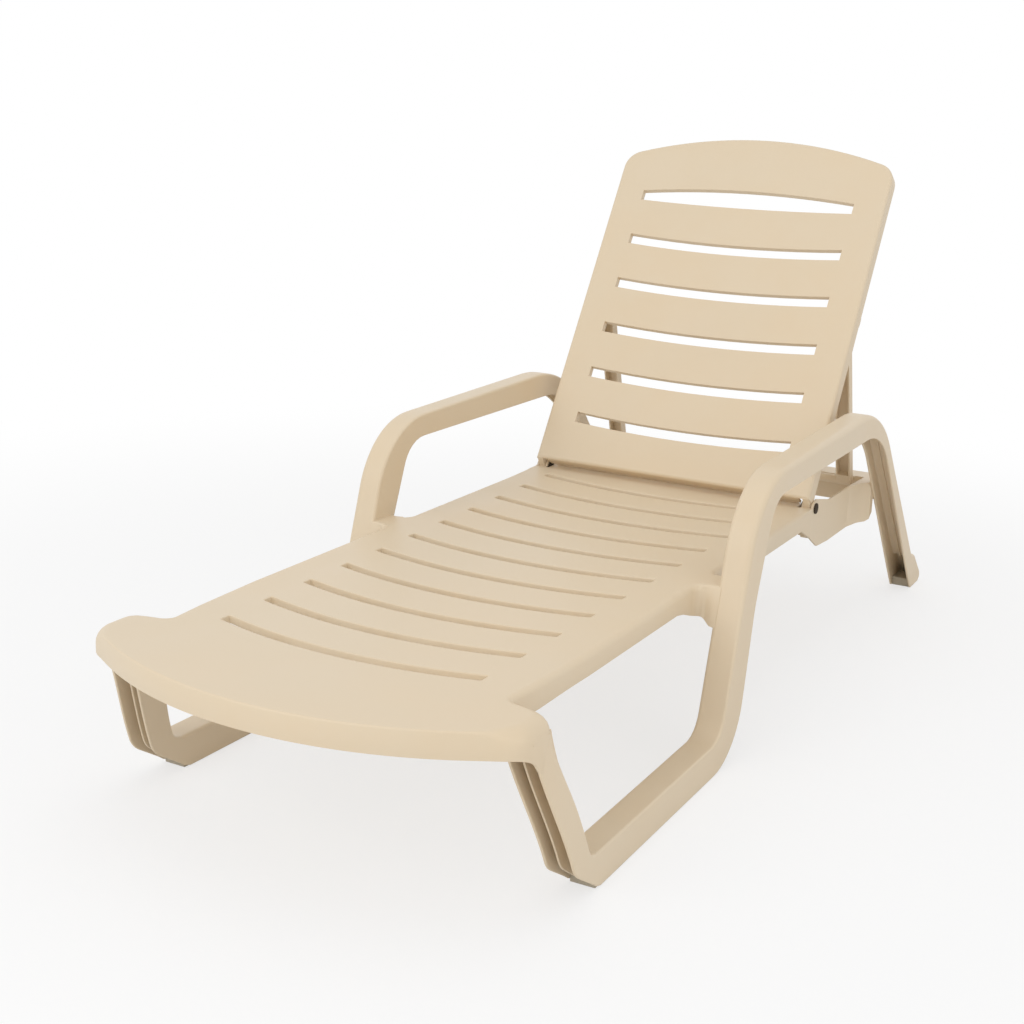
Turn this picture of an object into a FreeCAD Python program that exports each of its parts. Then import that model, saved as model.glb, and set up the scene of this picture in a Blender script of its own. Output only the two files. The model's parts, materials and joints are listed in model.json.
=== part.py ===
"""Reclining sun lounger: a moulded base with arms, a slatted backrest on two hinge pins,
and a prop frame that hangs from the backrest and stands on the rear rails.

Millimetres. +Z is up, +Y runs from the foot end to the head end, +X is the sitter's right.
The origin is on the ground, at the middle of the base's footprint.
The backrest is drawn raised.
"""
import math
import os

import FreeCAD
import Part
from FreeCAD import Vector

os.makedirs("parts", exist_ok=True)

# ---------------------------------------------------------------- overall sizes
BASE_LENGTH = 1810.0
BASE_WIDTH = 710.0          # over the side frames, where they cross TOE_IN_Y
DECK_TOP = 266.0
ARM_FRONT_TOP = 422.0       # heights of the armrest's two bends
ARM_REAR_TOP = 434.0
ARM_UNDER = 388.0
BACK_ANGLE = 58.17          # raised backrest, degrees above level

# ---------------------------------------------------------------- walls and clearances
WALL = 4.0                  # thickness of every moulded wall
RIB = 3.0                   # thickness of stiffening ribs
COLLAR_DEPTH = 12.0         # depth of the wall that runs round a slot, below the face
SIDE_GAP = 0.5              # sideways gap between pieces that swing past each other
PIN_GAP = 0.08              # radial running clearance of a pin in a bore that turns
SEAT_GAP = 0.05             # radial clearance of a pin in a bore that it stays in
PAD_GAP = 0.2               # gap between a foot pad and the channel round it
THROUGH = 20.0              # how far a cutting tool runs past what it cuts
OVERLAP = 1.0               # how far two cutting tools run into each other

# ---------------------------------------------------------------- deck
FOOT_END = -BASE_LENGTH / 2
HEAD_END = BASE_LENGTH / 2
FRAME_OUT = BASE_WIDTH / 2
FRAME_IN = FRAME_OUT - 43.0
DECK_HALF = FRAME_IN - 34.0
DECK_FOOT_HALF = DECK_HALF - 16.0       # half width where the deck meets the foot-end panel
DECK_FOOT = FOOT_END + 178.0
DECK_FULL_WIDTH_Y = FOOT_END + 375.0    # from here to the head end the deck has its full width
DECK_CORNER = HEAD_END - 559.0          # head end of the deck's outer corners
SKIRT = 31.0                # height of the apron round the deck
FOOT_SKIRT = 36.0           # height of the apron round the foot-end panel
GUSSET_LENGTH = 46.0        # the deck's side aprons deepen over this length, next to the rails
GUSSET_DROP = 22.0
EDGE_RADIUS = 6.0           # rounding of the deck's and the back's outer edges
DECK_SLOT_FIRST = DECK_FOOT + 51.5      # tips of the first slot, on its middle line
DECK_SLOT_LAST = DECK_CORNER - 54.0     # the last slot's tips lie no nearer to the head end
DECK_SLOT_PITCH = 96.6
DECK_SLOTS = 1 + int((DECK_SLOT_LAST - DECK_SLOT_FIRST) / DECK_SLOT_PITCH)
DECK_SLOT_WIDTH = 19.0
DECK_SLOT_HALF = DECK_HALF - 72.0
DECK_SLOT_GROWTH = 2.0      # each slot reaches this much further than the one before
DECK_SLOT_SAG = 31.0        # the middle of a slot lies this far towards the foot end
DECK_RIB_XS = (-120.0, 0.0, 120.0)
EAR_HALF = FRAME_OUT - 21.0
EAR_REAR = FOOT_END + 167.0
FOOT_ARC_RADIUS = 560.0
FOOT_ARC_HALF = EAR_HALF - 59.0
EAR_FRONT_RADIUS = 40.0
EAR_REAR_RADIUS = 22.0
EAR_NOTCH_RADIUS = 8.0

# ---------------------------------------------------------------- side frames
TOE_IN = 0.6                # the side frames close in towards the head end, degrees
TOE_IN_Y = FOOT_END + 531.0 # each frame is turned about this place on its outer face
FRAME_EDGE_RADIUS = 8.0     # rounding of the frames' closed face
PAD_PROUD = 1.0             # the foot pads stand this far below the runner
RUNNER_TOP = 45.0
LEG_SPLIT = 60.0            # height at which the front leg leaves the runner
LEG_TOP_Y = FOOT_END + 145.0
POST_SPLIT = 62.0           # height at which the arm post leaves the runner
POST_ZONE_FRONT = HEAD_END - 1155.0     # the post lies between these two lengths
POST_ZONE_REAR = HEAD_END - 905.0
POST_WEB_Y = HEAD_END - 1075.0          # front and rear of the post where the deck's bridge meets it
POST_LIP_Y = HEAD_END - 1021.0
BRIDGE_FLARE = 24.0         # the bridge widens by this much where it leaves the deck
ARM_SPLIT = 300.0           # height at which the armrest leaves the post
REAR_SPLIT = HEAD_END - 417.0   # length at which the rear leg leaves the armrest
MID_RIB_DEPTH = 38.0
MID_RIB_PLACE = 19.0        # the frames' middle rib, from their inner face
HEEL_CORNERS = 3            # the middle rib stops short of the last corners of the frame's path
PAD_TOP = 18.0
PAD_EDGE_RADIUS = 3.0
FRONT_PAD_ENDS = (FOOT_END + 265.0, FOOT_END + 317.0)
REAR_PAD_ENDS = (HEAD_END - 73.0, HEAD_END - 25.0)

# ---------------------------------------------------------------- hinge and backrest
FACE_Y = HEAD_END - 578.5   # the line where the raised backrest's face meets the deck plane
FACE_Z = DECK_TOP
BACK_HALF = DECK_HALF - 4.0
BACK_BOTTOM = 22.0          # along the face, from that line
BACK_TOP = 727.0
BACK_CROWN_RADIUS = 830.0
BACK_CORNER_RADIUS = 38.0
BACK_DEPTH = 28.0
BACK_SLOTS = 6
BACK_SLOT_TOP = 602.0
BACK_SLOT_PITCH = 95.6
BACK_SLOT_HEIGHT = 20.8
BACK_SLOT_HALF = BACK_HALF - 59.0
BACK_SLOT_SAG = 9.0
BACK_TOP_SLOT_RISE = 12.0   # the top slot's upper edge bulges up by this much
BACK_TOP_SLOT_SAG = 5.0
PIN_ALONG = 18.0            # hinge pin, along the face
PIN_BEHIND = 35.0           # hinge pin, behind the face
HINGE_PIN_RADIUS = 6.0
HINGE_HEAD_RADIUS = 9.5
HINGE_HEAD = 2.5
CLIP_WIDTH = 3.0
PIN_PROUD = 1.0             # the hinge pin stands this far out of its clip
DECK_HEAD_REACH = 8.0       # the deck's head end lies this far behind the hinge pin's axis
KNUCKLE_RADIUS = 12.0
KNUCKLE_ROOT = 60.0         # the knuckle's arm leaves the back's face over this length
KNUCKLE_TAPER = 10.0
KNUCKLE_INSET = 2.0
KNUCKLE_CHEEK = 9.0
LUG_RADIUS = 14.0

# ---------------------------------------------------------------- rear rails and beam
RAIL_OUT = DECK_HALF
RAIL_IN = RAIL_OUT - 21.5
RAIL_OUT_WALL = RAIL_OUT - BACK_HALF - SIDE_GAP
RAIL_TOP = DECK_TOP - 4.0
RAIL_LOW = DECK_TOP - 83.0
RAIL_STEP_Y = DECK_CORNER + 44.0    # the rail reaches its full depth here
RAIL_STEP_RISE = 4.0        # the pointed step's lower corner lies this far above the rail's bottom
RAIL_STEP_LENGTH = 60.0     # and the bottom is level from this far behind it
RAIL_STEP_RADIUS = 6.0
RAIL_LOW_RADIUS = 40.0
RAIL_END_RADIUS = 12.0
RAIL_END = HEAD_END - 189.0
SHOULDER_START = 12.0       # behind the hinge line, the rail's top leaves the deck's height here
SHOULDER_END = 30.0         # and meets the rail's own height here
SHOULDER_RADIUS = 8.0
FAIRING_RISE = 3.0          # the outer wall rises this far over the hinge lug
FAIRING_LENGTH = 80.0       # and slopes down to the rail's top over this length
RACK_START = DECK_CORNER + 44.0     # between the walls, the rack of rests starts here
RACK_TOP = DECK_TOP - 18.0
RACK_BOTTOM = DECK_TOP - 34.0
RACK_WALL_TOP = RACK_TOP - 8.0      # the inner wall is lower than the rack
INNER_WALL_RISE = 32.0      # the inner wall's front lower corner is cut back by this height
INNER_WALL_CUT = 62.0       # over this length
BEAM_DEPTH = 48.0
BEAM_FRONT = RAIL_END - BEAM_DEPTH
BEAM_TOP = DECK_TOP - 10.0
BEAM_LOW = BEAM_TOP - 50.0
BEAM_RIB_PITCH = 63.0
REAR_BRIDGE_LENGTH = 94.0
REAR_BRIDGE_FLARE = 62.0    # the bridge's front wall leaves the rail this far before it reaches the leg
REAR_BRIDGE_ARCH = 22.0     # its lower edge rises by this much towards the leg
NOTCHES = 5
NOTCH_PITCH = 46.0
NOTCH_RADIUS = 8.5

# ---------------------------------------------------------------- prop frame
PIVOT_ALONG = 381.0
PIVOT_BEHIND = 25.0
PROP_FOOT_Y = BEAM_FRONT - 25.0
PROP_FOOT_Z = DECK_TOP - 14.0
PROP_OUT = RAIL_IN - SIDE_GAP
PROP_WIDTH = 28.0
PROP_DEPTH = 20.0
PROP_KNUCKLE = 11.5
PROP_FOOT_RADIUS = 9.0
PROP_PIN_RADIUS = 5.0
PROP_HEAD_RADIUS = 8.0
PROP_HEAD = 2.5
PROP_BAR_RADIUS = 8.0
PROP_BAR_DROP = 115.0       # the upper cross bar, below the pivot along the leg
LUG_WALL = 4.0
LUG_MARGIN = 4.0            # a prop lug's root is this much longer than its end, each way
LUG_CORNER_RADIUS = 8.0
PROP_SKIN = 1.0             # the prop's flat sides lie this far inside its round ends

X_AXIS = Vector(1, 0, 0)
Z_AXIS = Vector(0, 0, 1)


# ---------------------------------------------------------------- places that follow from the sizes
def back_place(along, behind):
    """Global y and z of a point given along the raised face and behind it."""
    angle = math.radians(BACK_ANGLE)
    y = FACE_Y + along * math.cos(angle) + behind * math.sin(angle)
    z = FACE_Z + along * math.sin(angle) - behind * math.cos(angle)
    return y, z


def frame_out_at(y):
    """How far out the right side frame's outer face lies at a length."""
    return FRAME_OUT - (y - TOE_IN_Y) * math.tan(math.radians(TOE_IN))


HINGE_Y, HINGE_Z = back_place(PIN_ALONG, PIN_BEHIND)
PIVOT_Y, PIVOT_Z = back_place(PIVOT_ALONG, PIVOT_BEHIND)
DECK_HEAD = HINGE_Y + DECK_HEAD_REACH
PIN_IN = RAIL_IN - CLIP_WIDTH - PIN_PROUD
DECK_HEAD_HALF = PIN_IN - SIDE_GAP
KNUCKLE_IN = RAIL_IN + WALL + SIDE_GAP
PROP_IN = PROP_OUT - PROP_WIDTH
LUG_OUT = PROP_IN - SIDE_GAP
LUG_IN = LUG_OUT - LUG_WALL
PROP_PIN_END = BACK_HALF - WALL
PROP_LENGTH = math.hypot(PROP_FOOT_Y - PIVOT_Y, PROP_FOOT_Z - PIVOT_Z)
LEG_LEAN = (frame_out_at(LEG_TOP_Y) - EAR_HALF) / (DECK_TOP - LEG_SPLIT)


# ---------------------------------------------------------------- drawing helpers
def side_point(y, z):
    """A point of a side view, at the middle plane."""
    return Vector(0, y, z)


def plan_point(x, y):
    """A point of a plan view, at ground level."""
    return Vector(x, y, 0)


def unit(vector):
    """The vector at length one."""
    return vector.multiply(1.0 / vector.Length)


def rounded_edges(points, radii, closed):
    """Straight edges through the points, with an arc of the given radius at each corner."""
    count = len(points)
    entries = []
    for index, corner in enumerate(points):
        radius = radii[index]
        is_end = not closed and index in (0, count - 1)
        if is_end or radius == 0:
            entries.append((corner, corner, None))
            continue
        back = unit(points[index - 1] - corner)
        ahead = unit(points[(index + 1) % count] - corner)
        half_angle = back.getAngle(ahead) / 2
        reach = radius / math.tan(half_angle)
        middle = corner + unit(back + ahead) * (radius / math.sin(half_angle) - radius)
        start = corner + back * reach
        end = corner + ahead * reach
        entries.append((start, end, Part.Arc(start, middle, end).toShape()))
    edges = []
    for index, (start, end, arc) in enumerate(entries):
        if arc is not None:
            edges.append(arc)
        if index + 1 < count or closed:
            next_start = entries[(index + 1) % count][0]
            edges.append(Part.LineSegment(end, next_start).toShape())
    return edges


def prism(edges, direction):
    """A solid pushed along the direction from a closed ring of edges."""
    wire = Part.Wire(Part.__sortEdges__(edges))
    return Part.Face(wire).extrude(direction)


def side_prism(corners, x_low, x_high):
    """A solid between two x places whose side view is (y, z, corner radius) corners."""
    points = [side_point(y, z) for y, z, _ in corners]
    radii = [radius for _, _, radius in corners]
    solid = prism(rounded_edges(points, radii, True), X_AXIS * (x_high - x_low))
    solid.translate(X_AXIS * x_low)
    return solid


def block(x_low, x_high, y_low, y_high, z_low, z_high):
    """A box between the given places."""
    corner = Vector(x_low, y_low, z_low)
    return Part.makeBox(x_high - x_low, y_high - y_low, z_high - z_low, corner)


def rod(radius, x_low, x_high, y, z):
    """A cylinder along X."""
    return Part.makeCylinder(radius, x_high - x_low, Vector(x_low, y, z), X_AXIS)


def mirrored(solid):
    """The same piece on the other side of the middle plane."""
    return solid.mirror(Vector(0, 0, 0), X_AXIS)


def arc_band(half, low, high, low_sag, high_sag):
    """Edges of a curved slot in the XY plane: straight ends, and long sides that bow."""
    low_left, low_right = plan_point(-half, low), plan_point(half, low)
    high_left, high_right = plan_point(-half, high), plan_point(half, high)
    low_side = Part.Arc(low_left, plan_point(0, low + low_sag), low_right)
    high_side = Part.Arc(high_left, plan_point(0, high + high_sag), high_right)
    return [
        low_side.toShape(),
        Part.LineSegment(low_right, high_right).toShape(),
        high_side.toShape(),
        Part.LineSegment(high_left, low_left).toShape(),
    ]


def band_solid(band, margin, z_low, z_high):
    """A slot's band, grown all round by the margin, between two heights."""
    half, low, high, low_sag, high_sag = band
    edges = arc_band(half + margin, low - margin, high + margin, low_sag, high_sag)
    solid = prism(edges, Z_AXIS * (z_high - z_low))
    solid.translate(Z_AXIS * z_low)
    return solid


def offset_corners(corners, distance):
    """Move an open side-view path sideways, to the left of its travel when positive."""
    normals = []
    for (y0, z0, _), (y1, z1, _) in zip(corners, corners[1:]):
        length = math.hypot(y1 - y0, z1 - z0)
        normals.append(((z0 - z1) / length, (y1 - y0) / length))
    moved = []
    for index, (y, z, radius) in enumerate(corners):
        before = normals[max(index - 1, 0)]
        after = normals[min(index, len(normals) - 1)]
        scale = distance / (1 + before[0] * after[0] + before[1] * after[1])
        turn = before[0] * after[1] - before[1] * after[0]
        new_radius = max(radius - math.copysign(distance, turn) * (radius > 0), 1.0)
        moved.append((y + (before[0] + after[0]) * scale, z + (before[1] + after[1]) * scale,
                      new_radius if radius else 0))
    return moved


# ---------------------------------------------------------------- deck and foot-end panel
def deck_slot_band(index):
    """The band of one deck slot, counted from the foot end."""
    tips = DECK_SLOT_FIRST + index * DECK_SLOT_PITCH
    half = DECK_SLOT_HALF + index * DECK_SLOT_GROWTH
    half_width = DECK_SLOT_WIDTH / 2
    return half, tips - half_width, tips + half_width, -DECK_SLOT_SAG, -DECK_SLOT_SAG


def seat_deck():
    """The slatted deck with its side aprons, between the foot-end panel and the hinge."""
    outline = [
        (-DECK_FOOT_HALF, DECK_FOOT), (DECK_FOOT_HALF, DECK_FOOT), (DECK_HALF, DECK_FULL_WIDTH_Y),
        (DECK_HALF, DECK_CORNER), (DECK_HEAD_HALF, DECK_CORNER), (DECK_HEAD_HALF, DECK_HEAD),
        (-DECK_HEAD_HALF, DECK_HEAD), (-DECK_HEAD_HALF, DECK_CORNER),
        (-DECK_HALF, DECK_CORNER), (-DECK_HALF, DECK_FULL_WIDTH_Y),
    ]
    points = [plan_point(x, y) for x, y in outline]
    slab = prism(rounded_edges(points, [0] * len(points), True), Z_AXIS * SKIRT)
    slab.translate(Z_AXIS * (DECK_TOP - SKIRT))
    long_edges = [edge for edge in slab.Edges if is_outer_top_edge(edge, DECK_TOP, DECK_FOOT_HALF)]
    slab = slab.makeFillet(EDGE_RADIUS, long_edges)
    inner = [
        (-DECK_FOOT_HALF + WALL, DECK_FOOT - THROUGH), (DECK_FOOT_HALF - WALL, DECK_FOOT - THROUGH),
        (DECK_FOOT_HALF - WALL, DECK_FOOT), (DECK_HALF - WALL, DECK_FULL_WIDTH_Y),
        (DECK_HALF - WALL, DECK_CORNER - WALL), (DECK_HEAD_HALF - WALL, DECK_CORNER - WALL),
        (DECK_HEAD_HALF - WALL, DECK_HEAD - WALL), (-DECK_HEAD_HALF + WALL, DECK_HEAD - WALL),
        (-DECK_HEAD_HALF + WALL, DECK_CORNER - WALL), (-DECK_HALF + WALL, DECK_CORNER - WALL),
        (-DECK_HALF + WALL, DECK_FULL_WIDTH_Y), (-DECK_FOOT_HALF + WALL, DECK_FOOT),
    ]
    points = [plan_point(x, y) for x, y in inner]
    hollow = prism(rounded_edges(points, [0] * len(points), True), Z_AXIS * SKIRT)
    hollow.translate(Z_AXIS * (DECK_TOP - SKIRT - WALL))
    slab = slab.cut(hollow)
    collars = []
    slots = []
    for index in range(DECK_SLOTS):
        band = deck_slot_band(index)
        collars.append(band_solid(band, RIB, DECK_TOP - COLLAR_DEPTH, DECK_TOP - WALL))
        slots.append(band_solid(band, 0, DECK_TOP - SKIRT, DECK_TOP + THROUGH))
    gusset_top = DECK_TOP - SKIRT
    gusset = side_prism([(DECK_CORNER - GUSSET_LENGTH, gusset_top, 0), (DECK_CORNER, gusset_top, 0),
                         (DECK_CORNER, gusset_top - GUSSET_DROP, 0)], DECK_HALF - WALL, DECK_HALF)
    return slab.fuse(collars + [gusset, mirrored(gusset)]).cut(Part.makeCompound(slots))


def is_outer_top_edge(edge, height, least_x):
    """True for an edge that lies at the height, along the outer sides."""
    box = edge.BoundBox
    at_height = abs(box.ZMin - height) < 0.01 and abs(box.ZMax - height) < 0.01
    outside = min(abs(box.XMin), abs(box.XMax)) > least_x - 0.01
    return at_height and outside and box.YLength > box.XLength


def deck_ribs():
    """Long ribs under the slats, from the foot-end panel to the deck's head end."""
    low, high = DECK_TOP - SKIRT, DECK_TOP - COLLAR_DEPTH
    return Part.makeCompound([
        block(x - RIB / 2, x + RIB / 2, DECK_FOOT, DECK_HEAD - WALL, low, high) for x in DECK_RIB_XS])


def foot_panel_edges(inset):
    """Plan outline of the foot-end panel, moved inwards by the inset."""
    radius = FOOT_ARC_RADIUS - inset
    centre_y = FOOT_END + FOOT_ARC_RADIUS
    tangent = math.asin(FOOT_ARC_HALF / FOOT_ARC_RADIUS)
    arc_x = radius * math.sin(tangent)
    arc_y = centre_y - radius * math.cos(tangent)
    ear_x = EAR_HALF - inset
    ear_y = arc_y + (ear_x - arc_x) * math.tan(tangent)
    neck = DECK_FOOT_HALF - inset
    rear = EAR_REAR - inset
    half = [
        (arc_x, arc_y, 0), (ear_x, ear_y, EAR_FRONT_RADIUS - inset),
        (ear_x, rear, EAR_REAR_RADIUS - inset), (neck, rear, EAR_NOTCH_RADIUS + inset / 2),
    ]
    ring = [(x, y, r) for x, y, r in half]
    ring += [(neck, DECK_FOOT, 0), (-neck, DECK_FOOT, 0)]
    ring += [(-x, y, r) for x, y, r in reversed(half)]
    points = [plan_point(x, y) for x, y, _ in ring]
    edges = rounded_edges(points, [r for _, _, r in ring], False)
    front = Part.Arc(points[-1], plan_point(0, centre_y - radius), points[0]).toShape()
    return edges + [front]


def foot_end_panel():
    """The plain panel at the foot end, with its down-turned apron and two ears."""
    shell = prism(foot_panel_edges(0), Z_AXIS * FOOT_SKIRT)
    shell.translate(Z_AXIS * (DECK_TOP - FOOT_SKIRT))
    rim = []
    for edge in shell.Edges:
        box = edge.BoundBox
        on_top = abs(box.ZMin - DECK_TOP) < 0.01 and abs(box.ZMax - DECK_TOP) < 0.01
        if on_top and box.YMin < DECK_FOOT - 0.01:
            rim.append(edge)
    shell = shell.makeFillet(EDGE_RADIUS, rim)
    hollow = prism(foot_panel_edges(WALL), Z_AXIS * (FOOT_SKIRT - WALL))
    hollow.translate(Z_AXIS * (DECK_TOP - FOOT_SKIRT))
    open_end = block(-DECK_FOOT_HALF + WALL, DECK_FOOT_HALF - WALL, EAR_REAR - WALL, DECK_FOOT + THROUGH,
                     DECK_TOP - FOOT_SKIRT, DECK_TOP - WALL)
    return shell.cut(hollow).cut(open_end)


# ---------------------------------------------------------------- side frames
def web_corners():
    """Side view of the frame's closed face, from the front leg to the rear foot."""
    return [
        (EAR_REAR, DECK_TOP, 0), (FOOT_END + 188.0, DECK_TOP - FOOT_SKIRT, 60.0),
        (FOOT_END + 248.0, RUNNER_TOP, 18.0), (HEAD_END - 1132.0, RUNNER_TOP, 45.0),
        (HEAD_END - 1023.0, ARM_FRONT_TOP, 145.0), (HEAD_END - 404.0, ARM_REAR_TOP, 240.0),
        (HEAD_END - 83.0, 73.0, 14.0), (HEAD_END - 59.0, 68.0, 16.0), (HEAD_END + 5.5, 10.0, 10.0),
        (HEAD_END - 14.0, PAD_PROUD, 0),
    ]


def lip_corners():
    """Side view of the frame's open face, from the front leg to the rear foot."""
    return [
        (FOOT_END + 116.0, DECK_TOP, 0), (FOOT_END + 211.0, 52.0, 50.0), (FOOT_END + 281.0, PAD_PROUD, 30.0),
        (HEAD_END - 1064.0, PAD_PROUD, 105.0), (HEAD_END - 1019.0, DECK_TOP - 38.0, 200.0),
        (HEAD_END - 957.0, ARM_UNDER, 40.0), (HEAD_END - 392.0, ARM_UNDER, 190.0),
        (HEAD_END - 110.0, 40.0, 30.0), (HEAD_END - 76.0, PAD_PROUD, 0),
    ]


def band_between(first, second, x_low, x_high):
    """A solid whose side view lies between two open paths."""
    near = [side_point(y, z) for y, z, _ in first]
    far = [side_point(y, z) for y, z, _ in second]
    edges = rounded_edges(near, [radius for _, _, radius in first], False)
    edges += rounded_edges(far, [radius for _, _, radius in second], False)
    edges.append(Part.LineSegment(near[0], far[0]).toShape())
    edges.append(Part.LineSegment(near[-1], far[-1]).toShape())
    solid = prism(edges, X_AXIS * (x_high - x_low))
    solid.translate(X_AXIS * x_low)
    return solid


def frame_ribbon():
    """The whole right side frame: a channel with a rib along its middle."""
    web = web_corners()
    lip = lip_corners()
    web_inside = offset_corners(web, -WALL)
    rib_path = web[:-HEEL_CORNERS]
    beyond_lip = offset_corners(lip, -THROUGH)
    middle = FRAME_IN + MID_RIB_PLACE
    whole = band_between(web, lip, FRAME_IN, FRAME_OUT)
    whole = whole.makeFillet(FRAME_EDGE_RADIUS, [edge for edge in whole.Edges if is_web_edge(edge, web)])
    hollow = band_between(stretched(web_inside), stretched(beyond_lip), FRAME_IN + WALL, FRAME_OUT - WALL)
    rib = band_between(offset_corners(rib_path, -WALL), offset_corners(rib_path, -MID_RIB_DEPTH),
                       middle - RIB / 2, middle + RIB / 2)
    rib = rib.cut(block(FRAME_IN, FRAME_OUT, FOOT_END, HEAD_END, 0, PAD_TOP + RIB))
    return toed_in(whole.cut(hollow.cut(rib)))


def is_web_edge(edge, web):
    """True for an edge of the band's outer side that runs along the web's path."""
    box = edge.BoundBox
    if box.XLength > 0.01 or abs(box.XMax - FRAME_OUT) > 0.01:
        return False
    middle = edge.valueAt((edge.FirstParameter + edge.LastParameter) / 2)
    path = Part.Wire(rounded_edges([side_point(y, z) for y, z, _ in web], [r for _, _, r in web], False))
    return path.distToShape(Part.Vertex(side_point(middle.y, middle.z)))[0] < 0.01


def toed_in(solid):
    """The solid turned with the right side frame, which closes in towards the head end."""
    solid.rotate(Vector(FRAME_OUT, TOE_IN_Y, 0), Z_AXIS, TOE_IN)
    return solid


def frame_space():
    """All the room between the right side frame's inner and outer faces."""
    return toed_in(block(FRAME_IN, FRAME_OUT, FOOT_END, HEAD_END, 0, ARM_REAR_TOP))


def stretched(corners):
    """The path with its last corner moved on, so that a cut leaves no wall there."""
    y0, z0, _ = corners[-2]
    y1, z1, _ = corners[-1]
    length = math.hypot(y1 - y0, z1 - z0)
    scale = THROUGH / length
    return corners[:-1] + [(y1 + (y1 - y0) * scale, z1 + (z1 - z0) * scale, 0)]


def side_frame_pieces(panel):
    """The ribbon parted into front leg, runner, post, armrest and rear leg."""
    ribbon = frame_ribbon()
    x_low, x_high = FRAME_IN - THROUGH, FRAME_OUT + THROUGH
    top = ARM_REAR_TOP + THROUGH
    leg_zone = block(x_low, x_high, FOOT_END, POST_ZONE_FRONT, LEG_SPLIT, top)
    runner_zone = block(x_low, x_high, FOOT_END, POST_ZONE_REAR, 0, POST_SPLIT)
    post_zone = block(x_low, x_high, POST_ZONE_FRONT, POST_ZONE_REAR, POST_SPLIT, ARM_SPLIT)
    arm_zone = block(x_low, x_high, POST_ZONE_FRONT, REAR_SPLIT, ARM_SPLIT, top)
    rear_zone = block(x_low, x_high, REAR_SPLIT, HEAD_END + THROUGH, 0, top)
    leg = ribbon.common(leg_zone)
    lean = FreeCAD.Matrix()
    lean.A13 = -LEG_LEAN
    lean.A14 = LEG_LEAN * LEG_SPLIT
    leg = leg.transformGeometry(lean)
    under_deck = block(0, x_high, FOOT_END, POST_ZONE_FRONT, 0, DECK_TOP - WALL)
    leg = leg.common(under_deck).cut(panel)
    runner = ribbon.common(runner_zone).cut(leg_zone)
    return {
        "front_leg": leg,
        "ground_runner": runner,
        "arm_post": ribbon.common(post_zone),
        "armrest": ribbon.common(arm_zone),
        "rear_leg": ribbon.common(rear_zone),
    }


def arm_bridge():
    """The short shelf that joins the deck to the arm post."""
    front, rear = POST_WEB_Y, POST_LIP_Y
    bend = BRIDGE_FLARE / 4
    outline = [
        (DECK_HALF, front - BRIDGE_FLARE, 0), (DECK_HALF, rear + BRIDGE_FLARE, 0),
        (DECK_HALF + bend, rear, BRIDGE_FLARE / 2), (FRAME_IN, rear, 0), (FRAME_IN, front, 0),
        (DECK_HALF + bend, front, BRIDGE_FLARE / 2),
    ]
    points = [plan_point(x, y) for x, y, _ in outline]
    edges = rounded_edges(points, [r for _, _, r in outline], True)
    shelf = prism(edges, Z_AXIS * SKIRT)
    hollow = block(DECK_HALF - THROUGH, FRAME_IN + THROUGH, front + WALL, rear - WALL, 0, SKIRT - WALL)
    shelf = shelf.cut(hollow)
    shelf.translate(Z_AXIS * (DECK_TOP - SKIRT))
    return shelf.cut(frame_space())


def foot_pad(ends):
    """An anti-slip pad that plugs into the channel of a foot, between two lengths."""
    front, rear = ends
    x_low, x_high = FRAME_IN + WALL + PAD_GAP, FRAME_OUT - WALL - PAD_GAP
    profile = [(front, 0, PAD_EDGE_RADIUS), (rear, 0, PAD_EDGE_RADIUS),
               (rear, PAD_TOP, PAD_EDGE_RADIUS), (front, PAD_TOP, PAD_EDGE_RADIUS)]
    return toed_in(side_prism(profile, x_low, x_high))


# ---------------------------------------------------------------- rear rails and cross beam
def notch_centres():
    """Places of the rests along a rail for the prop's foot, from the raised one forwards."""
    return [(PROP_FOOT_Y - index * NOTCH_PITCH, PROP_FOOT_Z) for index in range(NOTCHES)]


def rail_profile():
    """Side view of the rail, from the deck's corner round its bottom and back along its top."""
    return [
        (DECK_CORNER, DECK_TOP - SKIRT - GUSSET_DROP, 0),
        (RAIL_STEP_Y, RAIL_LOW + RAIL_STEP_RISE, RAIL_STEP_RADIUS),
        (RAIL_STEP_Y + RAIL_STEP_LENGTH, RAIL_LOW, RAIL_LOW_RADIUS), (RAIL_END, RAIL_LOW, RAIL_END_RADIUS),
        (RAIL_END, BEAM_TOP, 0), (RAIL_END - REAR_BRIDGE_LENGTH - REAR_BRIDGE_FLARE, RAIL_TOP, 0),
        (HINGE_Y + SHOULDER_END, RAIL_TOP, SHOULDER_RADIUS),
        (HINGE_Y + SHOULDER_START, DECK_TOP, SHOULDER_RADIUS), (DECK_CORNER, DECK_TOP, 0),
    ]


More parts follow.
